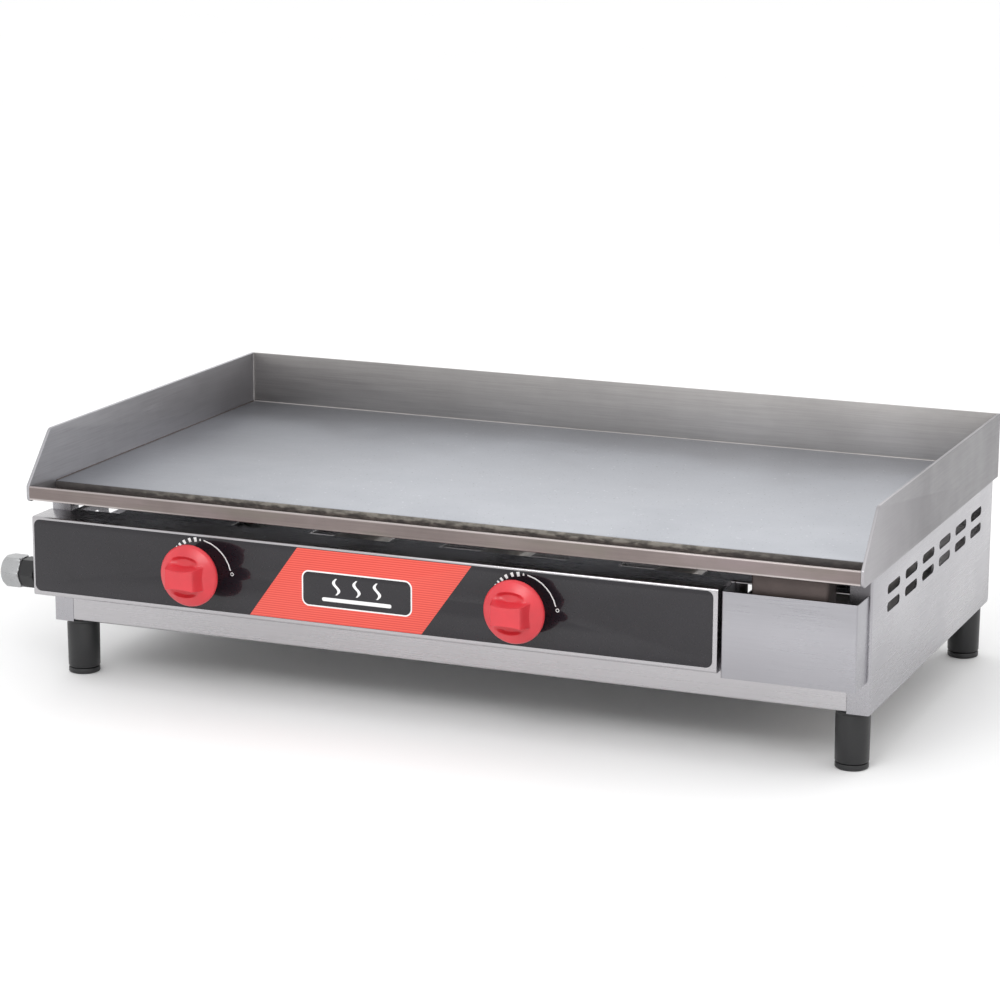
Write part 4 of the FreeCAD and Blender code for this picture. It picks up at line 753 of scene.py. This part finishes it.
def build_front_panel():
    """The front sheet: top shelf with its openings, foot flange and drawer mouth."""
    panel = Span("front_panel")
    tray = Span("grease_tray")
    foot_flange = panel.y0 + GAUGE + FLANGE
    path = [(panel.y1, panel.z1), (panel.y0, panel.z1), (panel.y0, panel.z0), (foot_flange, panel.z0)]
    mesh = extruded("YZ", [bent_strip(path, GAUGE, FOLD)], (panel.x0, panel.x1), bevel=0.2)
    sheet_y = (panel.y0 - 3, panel.y0 + 3)
    mouth = rectangle(tray.x0 - 4, panel.x1 + 5, tray.z0 - 4, panel.z1 - 2)
    cutters = [extruded("XZ", [mouth], sheet_y, bevel=CUT)]
    valve_clearance = 17
    cutters += knob_holes(valve_clearance, panel.y0)
    for start, length in SHELF_OPENINGS:
        left = MIDDLE + start
        opening = rectangle(left, left + length, panel.y0 + 8, panel.y0 + 28)
        cutters.append(extruded("XY", [opening], (panel.z1 - 3, panel.z1 + 3), bevel=CUT))
    sheet = piece("front_sheet", carved(mesh, joined(cutters)), "body", ["front_panel"])
    sheet.data.materials.append(MATERIALS["soot_and_painted_shade"])
    over_tray = (tray.x0 + 60) * MM  # the shelf has painted shade from here to the right
    shelf_low = (panel.z1 - 3) * MM
    # Painted shade: the shelf under the lip, right of this point, takes the dark sooty material.
    for face in sheet.data.polygons:
        if face.center.x > over_tray and face.center.z > shelf_low:
            face.material_index = 1


def build_rear_panel():
    """The rear sheet with two rows of flue vents."""
    panel = Span("rear_panel")
    pitch, length = 64, 48
    inner_side = panel.x1 - FLANGE
    sheet = [rectangle(panel.x0, panel.x1, panel.z0, panel.z1)]
    middle = (panel.x0 + panel.x1) / 2
    for level in VENT_LEVELS:
        for index in range(9):
            sheet.append(slot(middle + (index - 4) * pitch, level, length, VENT_HEIGHT))
    wall = extruded("XZ", sheet, (panel.y1 - GAUGE, panel.y1), bevel=0.2)
    flange_loop = rectangle(2 * middle - inner_side, inner_side, panel.y0, panel.y1 - GAUGE)
    mesh = joined([wall, *end_flanges(panel, flange_loop)])
    piece("rear_sheet", mesh, "body", ["rear_panel"])


def build_screws():
    """Pan-head screws with crossed recesses."""
    group = Span("panel_screws")
    wide = 3.6
    head = [(group.y1 - 2.4, 3.5), (group.y1 - 1.2, wide), (group.y1 - 0.5, 3.0), (group.y1, 1.8)]
    meshes = []
    for x in (group.x0 + wide, group.x1 - wide):
        for level in (group.z0 + wide, group.z, group.z1 - wide):
            screw = turned("y", (x, level), [(group.y0, 2.0), (group.y1 - 2.4, 2.0), *head], 32)
            for width, height in ((3.2, 0.7), (0.7, 3.2)):
                bar = rectangle(x - width / 2, x + width / 2, level - height / 2, level + height / 2)
                screw = carved(screw, extruded("XZ", [bar], (group.y1 - 1.0, group.y1 + 1), bevel=CUT))
            meshes.append(screw)
    piece("rear_screws", joined(meshes), "zinc", ["panel_screws"])


# ---------------------------------------------------------------- control box

STEM_HOLE = 6  # radius


def build_control_box():
    """A folded channel with two end caps; its back closes on the body."""
    box = Span("control_box")
    path = [(box.y1, box.z1), (box.y0, box.z1), (box.y0, box.z0), (box.y1, box.z0)]
    channel = extruded("YZ", [bent_strip(path, GAUGE, 2.2)], (box.x0, box.x1), bevel=0.3)
    channel = carved(channel, joined(knob_holes(STEM_HOLE, box.y0)))
    cap_corners = rectangle(box.y0 + GAUGE, box.y1, box.z0 + GAUGE, box.z1 - GAUGE)
    cap_loop = rounded_loop(cap_corners, [1.0, 0.2, 0.2, 1.0], 4)
    pipe = Span("manifold_pipe")
    pipe_hole = circle(pipe.y, pipe.z, 11)
    left_cap = extruded("YZ", [cap_loop, pipe_hole], (box.x0 + 0.15, box.x0 + GAUGE), bevel=0.1)
    right_cap = extruded("YZ", [cap_loop], (box.x1 - GAUGE, box.x1 - 0.15), bevel=0.1)
    mesh = joined([channel, left_cap, right_cap])
    piece("control_housing", mesh, "body", ["control_box"])


def build_label():
    """The glossy film: a thin sheet with round corners and holes for the stems."""
    film = Span("control_label")
    outline = rounded_loop(rectangle(film.x0, film.x1, film.z0, film.z1), 6, 8)
    knobs = [Span(f"knob_{side}") for side in SIDES]
    holes = [circle(knob.x, knob.z, STEM_HOLE) for knob in knobs]
    mesh = extruded("XZ", [outline, *holes], (film.y0, film.y1), bevel=0.1)
    piece("label_film", mesh, "film", ["control_label"])


INK = 0.12  # thickness of a layer of print


def printed(name, loops, material, lift=1):
    """A layer of ink on the film, as a thin flat shape."""
    film = Span("control_label")
    front = film.y0 - INK * lift
    mesh = extruded("XZ", loops, (front, film.y0 + 0.02), bevel=0.02)
    return piece(name, mesh, material)


def build_print():
    """The red slanted field, a generic heat mark in place of a badge, and the two dials."""
    film = Span("control_label")
    lean = 48.0
    left = film.x0 + 222.5
    right = left + 169.5
    rim = 0.4
    low, high = film.z0 + rim, film.z1 - rim
    field = [(left, low), (right, low), (right + lean, high), (left + lean, high)]
    printed("print_red_field", [rounded_loop(field, 0.3, 2)], "red_print")
    build_badge(left + lean + 4.5, film)
    for side in SIDES:
        build_dial(side)


def build_badge(left, film):
    """A dark plate with a white outline, holding three heat waves over a bar; no lettering."""
    right = left + 108
    low = film.z0 + 15
    high = low + 33
    outline = rounded_loop(rectangle(left, right, low, high), 7, 8)
    inner = rounded_loop(rectangle(left + 1.3, right - 1.3, low + 1.3, high - 1.3), 5.8, 8)
    printed("print_badge_border", [outline, inner], "ink", lift=2)
    printed("print_badge_field", [inner], "film", lift=2)
    middle = (left + right) / 2
    bar = rounded_loop(rectangle(middle - 34, middle + 34, low + 6, low + 9.5), 1.6, 4)
    loops = [bar]
    for offset in (-20, 0, 20):
        loops.append(heat_wave(middle + offset, low + 12.5, 15, 1.7, 2.6))
    for index, loop in enumerate(loops):
        printed(f"print_heat_mark_{index}", [loop], "ink", lift=3)


def heat_wave(u, low, height, half_width, sway, steps=20):
    """The outline of a rising wave of heat."""
    right_side = []
    left_side = []
    for index in range(steps + 1):
        t = index / steps
        middle = u + sway * math.sin(2 * math.pi * t)
        width = half_width * (0.45 + 0.55 * math.sin(math.pi * min(max(t, 0.04), 0.96)))
        right_side.append((middle + width, low + height * t))
        left_side.append((middle - width, low + height * t))
    return right_side + left_side[::-1]


def polar(u, v, angle, radius):
    """The point at an angle in degrees and a radius from (u, v)."""
    turn = math.radians(angle)
    return u + radius * math.cos(turn), v + radius * math.sin(turn)


def ring_sector(u, v, inner, outer, start, end, steps=24):
    """A flat arc; angles are degrees from the first axis, turning left."""
    angles = [start + (end - start) * k / steps for k in range(steps + 1)]
    far = [polar(u, v, angle, outer) for angle in angles]
    near = [polar(u, v, angle, inner) for angle in angles]
    return far + near[::-1]


# angle, radius and size of each block, from low to high
DIAL_BLOCKS = (
    (150.0, 31.0, 0.4), (143.0, 30.6, 0.55), (135.4, 30.2, 0.72), (125.4, 29.6, 0.88), (113.8, 28.9, 0.9),
    (102.2, 28.1, 0.95),
)
# angle and radius of points along the arc from high to off
DIAL_ARC = ((84.5, 27.5), (68, 26.9), (53, 26.8), (40, 27.0), (29, 27.5), (15, 28.4), (3.5, 29.3))


def build_dial(side):
    """An arc from off to high, and blocks that shrink from high to low."""
    knob = Span(f"knob_{side}")
    u, v = knob.x, knob.z
    half_line = 0.55
    far = [polar(u, v, angle, radius + half_line) for angle, radius in DIAL_ARC]
    near = [polar(u, v, angle, radius - half_line) for angle, radius in DIAL_ARC]
    printed(f"print_dial_arc_{side}", [far + near[::-1]], "ink")
    for index, (angle, radius, size) in enumerate(DIAL_BLOCKS):
        half_width = math.degrees(1.45 * size / radius)
        half_depth = 0.6 + 1.5 * size
        loop = ring_sector(u, v, radius - half_depth, radius + half_depth, angle - half_width,
                           angle + half_width, 4)
        printed(f"print_dial_block_{side}_{index}", [loop], "ink")
    ring_centre = polar(u, v, -2.5, 31.0)
    ring = [circle(*ring_centre, 1.7, 20), circle(*ring_centre, 1.1, 20)]
    printed(f"print_dial_off_{side}", ring, "ink")
    tip = polar(u, v, 92, 28.2)
    flame = [(tip[0] - 1.1, tip[1] - 1.6), (tip[0] + 1.1, tip[1] - 1.6), (tip[0], tip[1] + 1.7)]
    printed(f"print_dial_high_{side}", [rounded_loop(flame, 0.5, 3)], "ink")


# ---------------------------------------------------------------- knobs

def smooth(edge0, edge1, value):
    t = min(max((value - edge0) / (edge1 - edge0), 0.0), 1.0)
    return t * t * (3 - 2 * t)


def knob_relief(u, v, radius, crown, grip):
    """Height of the knob's front above its rim: a dome, two scoops and a waisted bar grip."""
    scoop_centre, scoop_size, scoop_depth = (-1.5, 13.4), (13.5, 5.6), 5.0
    grip_end, grip_foot, waist = 13.0, 20.5, 7.8
    reach = min(math.hypot(u, v) / radius, 1.0)
    dome = crown * (1 - reach ** 2.2)
    for side in (1, -1):
        across = (u - scoop_centre[0]) / scoop_size[0]
        along = (v - side * scoop_centre[1]) / scoop_size[1]
        lens = across ** 2 + along ** 2
        dome -= scoop_depth * (1 - smooth(0.1, 1.2, lens))
    ramp = smooth(grip_end, grip_foot, abs(u))
    top = grip - 0.5 * (u / 14) ** 2 - (grip - 2.0) * ramp
    half = waist + 1.5 * (min(abs(u), 16) / 14) ** 2
    fall = smooth(half, half + 2.2, abs(v))
    return dome + max(top - dome, 0.0) * (1 - fall)


def build_knob(side):
    """A moulded disc with a domed front, a rounded rim and a hub behind."""
    knob = Span(f"knob_{side}")
    radius = (knob.x1 - knob.x0) / 2
    rim = knob.y0 + 20.0
    crown = 10.5
    grip = rim - knob.y0
    work = bmesh.new()
    rings = 96
    count = 200
    front = []
    for index in range(1, rings + 1):
        r = (radius - 1.4) * index / rings
        row = []
        for k in range(count):
            angle = 2 * math.pi * k / count
            u, v = r * math.cos(angle), r * math.sin(angle)
            lift = knob_relief(u, v, radius, crown, grip)
            row.append(work.verts.new((knob.x + u, rim - lift, knob.z + v)))
        front.append(row)
    centre = work.verts.new((knob.x, rim - knob_relief(0, 0, radius, crown, grip), knob.z))
    for k in range(count):
        work.faces.new((centre, front[0][k], front[0][(k + 1) % count]))
    hub = 12.0
    profile = [
        (rim + 0.5, radius - 0.4), (rim + 1.3, radius), (rim + 2.6, radius), (rim + 4.6, radius - 1.0),
        (rim + 5.2, radius - 2.0), (rim + 5.2, hub + 2), (rim + 5.8, hub + 0.4), (rim + 7, hub),
        (knob.y1 - 0.6, hub), (knob.y1, hub - 0.6), (knob.y1, 3.05), (knob.y1 - 6, 3.05),
    ]
    back = [ring(work, "y", (knob.x, knob.z), station, r, count) for station, r in profile]
    skin(work, front + back)
    work.faces.new(back[-1])
    piece(f"red_knob_{side}", as_mesh(work, "knob"), "knob", [f"knob_{side}"],
          body=f"knob_{side}", sharp=50)


def build_stem_spring(side):
    """The coil between the stem's collar and the plug; a pushed knob squeezes it by its travel."""
    coil = Span(f"stem_spring_{side}")
    wire = 0.4
    radius = (coil.x1 - coil.x0) / 2 - wire
    length = coil.y1 - coil.y0 - 2 * wire
    pitch = 1.6
    steps = 32 * int(length / pitch)
    sides = 10
    work = bmesh.new()
    sections = []
    for step in range(steps + 1):
        turn = 2 * math.pi * length / pitch * step / steps
        station = coil.y0 + wire + length * step / steps
        section = []
        for k in range(sides):
            around = 2 * math.pi * k / sides
            out = radius + wire * math.cos(around)
            along = station - wire * math.sin(around)
            section.append(ring_point(work, "y", (coil.x, coil.z), along, out, turn))
        sections.append(section)
    bridge(work, sections)
    spring = piece(f"coil_{side}", as_mesh(work, "coil"), "zinc", [f"stem_spring_{side}"],
                   body=f"plug_{side}", sharp=60)
    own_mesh(spring)


# ---------------------------------------------------------------- gas inlet

def hexagon_radius(flats, angle):
    """Distance from the axis to a hexagon's side; the flats are square to angles 0, 60, 120..."""
    sector = math.radians(60)
    local = (angle + sector / 2) % sector - sector / 2
    return flats / 2 / math.cos(local)


def hex_solid(centre, flats, stations, bore, bore_end):
    """A hexagonal bar along X: stations holds (x, largest radius); the left end has a bore."""
    work = bmesh.new()
    count = 144
    rings = []
    for x, limit in stations:
        row = []
        for k in range(count):
            angle = 2 * math.pi * k / count
            r = min(hexagon_radius(flats, angle - math.pi / 2), limit)
            row.append(ring_point(work, "x", centre, x, r, angle))
        rings.append(row)
    left = stations[0][0]
    profile = ((left, bore + 1.0), (left + 1.0, bore), (bore_end, bore), (bore_end, 0.5))
    hole = [ring(work, "x", centre, x, r, count) for x, r in profile]
    bridge(work, hole[::-1] + rings)
    return as_mesh(work, "hexagon")


def build_inlet():
    """The zinc nut for the supply hose, and the black coupling behind it."""
    bore, bore_depth = 9.3, 15
    nut = Span("inlet_nut")
    centre = (nut.y, nut.z)
    flats = nut.z1 - nut.z0
    corner = flats / math.sqrt(3)
    left, right = nut.x0, nut.x1
    stations = [
        (left, flats / 2 - 1.2), (left + 1.2, flats / 2 + 0.1), (left + 2.6, flats / 2 + 1.2),
        (left + 4, corner), (right - 1.6, corner), (right - 0.5, flats / 2 + 0.9), (right, flats / 2),
    ]
    mesh = hex_solid(centre, flats, stations, bore, left + bore_depth)
    piece("supply_nut", mesh, "zinc", ["inlet_nut"], sharp=28)

    coupling = Span("inlet_coupling")
    flats = coupling.z1 - coupling.z0
    corner = flats / math.sqrt(3)
    left, right = coupling.x0, coupling.x1
    stations = [
        (left, flats / 2), (left + 1.0, flats / 2 + 0.9), (left + 1.8, corner), (right - 4.8, corner),
        (right - 3.6, flats / 2 + 0.8), (right - 3, flats / 2 - 1), (right, flats / 2 - 1),
    ]
    coupling_bore = 8.0
    mesh = hex_solid(centre, flats, stations, coupling_bore, right - 3)
    piece("inlet_hexagon", mesh, "pipe", ["inlet_coupling"], sharp=28)


# ---------------------------------------------------------------- drawer and feet

def build_drawer():
    """The folded front pan and the tray behind it."""
    pan = Span("drawer_front")
    path = [(pan.x0, pan.y1), (pan.x0, pan.y0), (pan.x1, pan.y0), (pan.x1, pan.y1)]
    wall = extruded("XY", [bent_strip(path, GAUGE, FOLD)], (pan.z0, pan.z1), bevel=0.3)
    floor_loop = rectangle(pan.x0 + GAUGE, pan.x1 - GAUGE, pan.y0 + GAUGE, pan.y1)
    floor_sheet = extruded("XY", [floor_loop], (pan.z0, pan.z0 + GAUGE), bevel=0.2)
    piece("drawer_pan", joined([wall, floor_sheet]), "drawer", ["drawer_front"],
          body="drawer")

    tray = Span("grease_tray")
    outer = rounded_loop(within(tray, 0), 2.0, 4)
    inner = rounded_loop(within(tray, 1), 1.0, 4)
    walls = extruded("XY", [outer, inner], (tray.z0, tray.z1), bevel=0.2)
    bottom = extruded("XY", [inner], (tray.z0, tray.z0 + 1), bevel=0.1)
    piece("drip_tray", joined([walls, bottom]), "inner", ["grease_tray"], body="drawer")


def build_feet():
    """Tapered plastic legs and the levelling pads under them."""
    body_low = Span("left_side_panel").z0
    for corner in ("front_left", "front_right", "back_left", "back_right"):
        leg = Span(f"foot_{corner}")
        pad = Span(f"foot_pad_{corner}")
        centre = (leg.x, leg.y)
        top = (leg.x1 - leg.x0) / 2
        low = top - 0.5
        profile = [
            (body_low - 14, 4.1), (leg.z0, 4.1), (leg.z0, low - 1.4), (leg.z0 + 0.5, low - 0.4),
            (leg.z0 + 1.4, low), (body_low - 5, top - 0.1), (body_low - 4, top - 0.6),
            (body_low - 3.4, top - 0.6), (body_low - 2.6, top), (body_low - 0.6, top),
            (body_low, top - 0.6), (body_low, 4), (leg.z1 - 0.6, 4), (leg.z1, 3.4),
        ]
        piece(f"leg_{corner}", turned("z", centre, profile), "foot", [f"foot_{corner}"])
        pad_top = leg.z0 - 0.3
        radius = (pad.x1 - pad.x0) / 2
        profile = [
            (pad.z0, radius - 1.6), (pad.z0 + 0.4, radius - 0.6), (pad.z0 + 1.2, radius),
            (pad_top - 1, radius), (pad_top - 0.3, radius - 0.3), (pad_top, radius - 1), (pad_top, 4),
            (pad.z1 - 0.6, 4), (pad.z1, 3.4),
        ]
        piece(f"levelling_pad_{corner}", turned("z", centre, profile), "foot",
              [f"foot_pad_{corner}"], body=f"pad_{corner}")


# ---------------------------------------------------------------- carried-over CAD nodes

SLOT_MATERIALS = {
    "plate_steel": "plate",
    "splash_steel": "splash",
    "gutter_steel": "soot_and_painted_shade",
    "body_steel": "body",
    "inner_steel": "inner",
    "front_film": "film",
    "pipe_black": "pipe",
    "zinc": "zinc",
    "brass": "brass",
    "knob_red": "knob",
    "burner_steel": "burner",
    "foot_black": "foot",
}


def finish_cad_nodes():
    """Give every CAD node the material of its slot."""
    slots = {row["node"]: row["material_slot"] for row in frame["record"]["subparts"]}
    for name, obj in frame["nodes"].items():
        material = MATERIALS[SLOT_MATERIALS[slots[name]]]
        for holder in obj.material_slots:
            holder.material = material


# ---------------------------------------------------------------- stage

def build_floor():
    """A plain pale floor, in metres."""
    mesh = bpy.data.meshes.new("floor")
    half = 12.0
    corners = [(u, v, 0) for u, v in rectangle(-half, half, -half, half)]
    mesh.from_pydata(corners, [], [(0, 1, 2, 3)])
    floor = bpy.data.objects.new("floor", mesh)
    bpy.context.scene.collection.objects.link(floor)
    shader = Shader("floor_paint", Roughness=0.9)
    tone = shader.remap(shader.noise(3, detail=3), (0.3, 0.7), (0.0, 1.0))
    shader.colour(shader.blend(tone, (0.93, 0.93, 0.93), (0.945, 0.945, 0.945)))
    mesh.materials.append(shader.material)


def area_light(name, place, target, size, power):
    """A white rectangular lamp at a place, facing a target; metres and watts."""
    light = bpy.data.lights.new(name, "AREA")
    light.shape = "RECTANGLE"
    light.size, light.size_y = size
    light.energy = power
    holder = bpy.data.objects.new(name, light)
    holder.location = place
    direction = Vector(target) - Vector(place)
    holder.rotation_euler = direction.to_track_quat("-Z", "Y").to_euler()
    bpy.context.scene.collection.objects.link(holder)


def build_lights():
    """A white surround and four soft lamps."""
    world = bpy.data.worlds.new("studio")
    bpy.context.scene.world = world
    world.use_nodes = True
    nodes = world.node_tree.nodes
    nodes["Background"].inputs["Color"].default_value = WHITE
    nodes["Background"].inputs["Strength"].default_value = 1.07
    area_light("key", (-0.2, -2.4, 2.4), (0, 0, 0.1), (1.6, 1.2), 9)
    area_light("table", (0.2, -1.25, 0.95), (0.05, -0.55, 0), (0.6, 0.5), 5)
    area_light("fill", (2.6, -1.0, 1.4), (0, 0, 0.1), (1.2, 1.8), 1)
    area_light("rear", (0.0, 2.3, 1.3), (0, -0.1, 0.15), (3.4, 1.2), 8)


def set_view():
    """Colours are shown as they are, with no film-like curve."""
    settings = bpy.context.scene.view_settings
    settings.view_transform = "Standard"
    settings.look = "None"


def build_camera():
    """A long lens from the right and above, level with the photograph's view."""
    azimuth = math.radians(22.315)
    elevation = math.radians(13.154)
    roll = math.radians(-0.268)
    distance = 2.99458
    target = Vector((0.008544, -0.0115, 0.170307))
    back = Vector((math.sin(azimuth) * math.cos(elevation), -math.cos(azimuth) * math.cos(elevation),
                   math.sin(elevation)))
    right = Vector((math.cos(azimuth), math.sin(azimuth), 0))
    up = back.cross(right)
    turned_right = right * math.cos(roll) - up * math.sin(roll)
    turned_up = right * math.sin(roll) + up * math.cos(roll)
    data = bpy.data.cameras.new("camera")
    data.sensor_width = 36
    data.lens = 115.255
    data.clip_end = 60
    camera = bpy.data.objects.new("camera", data)
    rotation = Matrix((turned_right, turned_up, back)).transposed().to_4x4()
    camera.matrix_world = Matrix.Translation(target + back * distance) @ rotation
    bpy.context.scene.collection.objects.link(camera)
    bpy.context.scene.camera = camera


finish_cad_nodes()
build_plate()
build_splashes()
build_welds()
build_gutter()
build_chute()
build_side_panels()
build_front_panel()
build_rear_panel()
build_screws()
build_control_box()
build_label()
build_print()
for knob_side in SIDES:
    build_knob(knob_side)
    build_stem_spring(knob_side)
build_inlet()
build_drawer()
build_feet()
build_floor()
build_lights()
set_view()
build_camera()
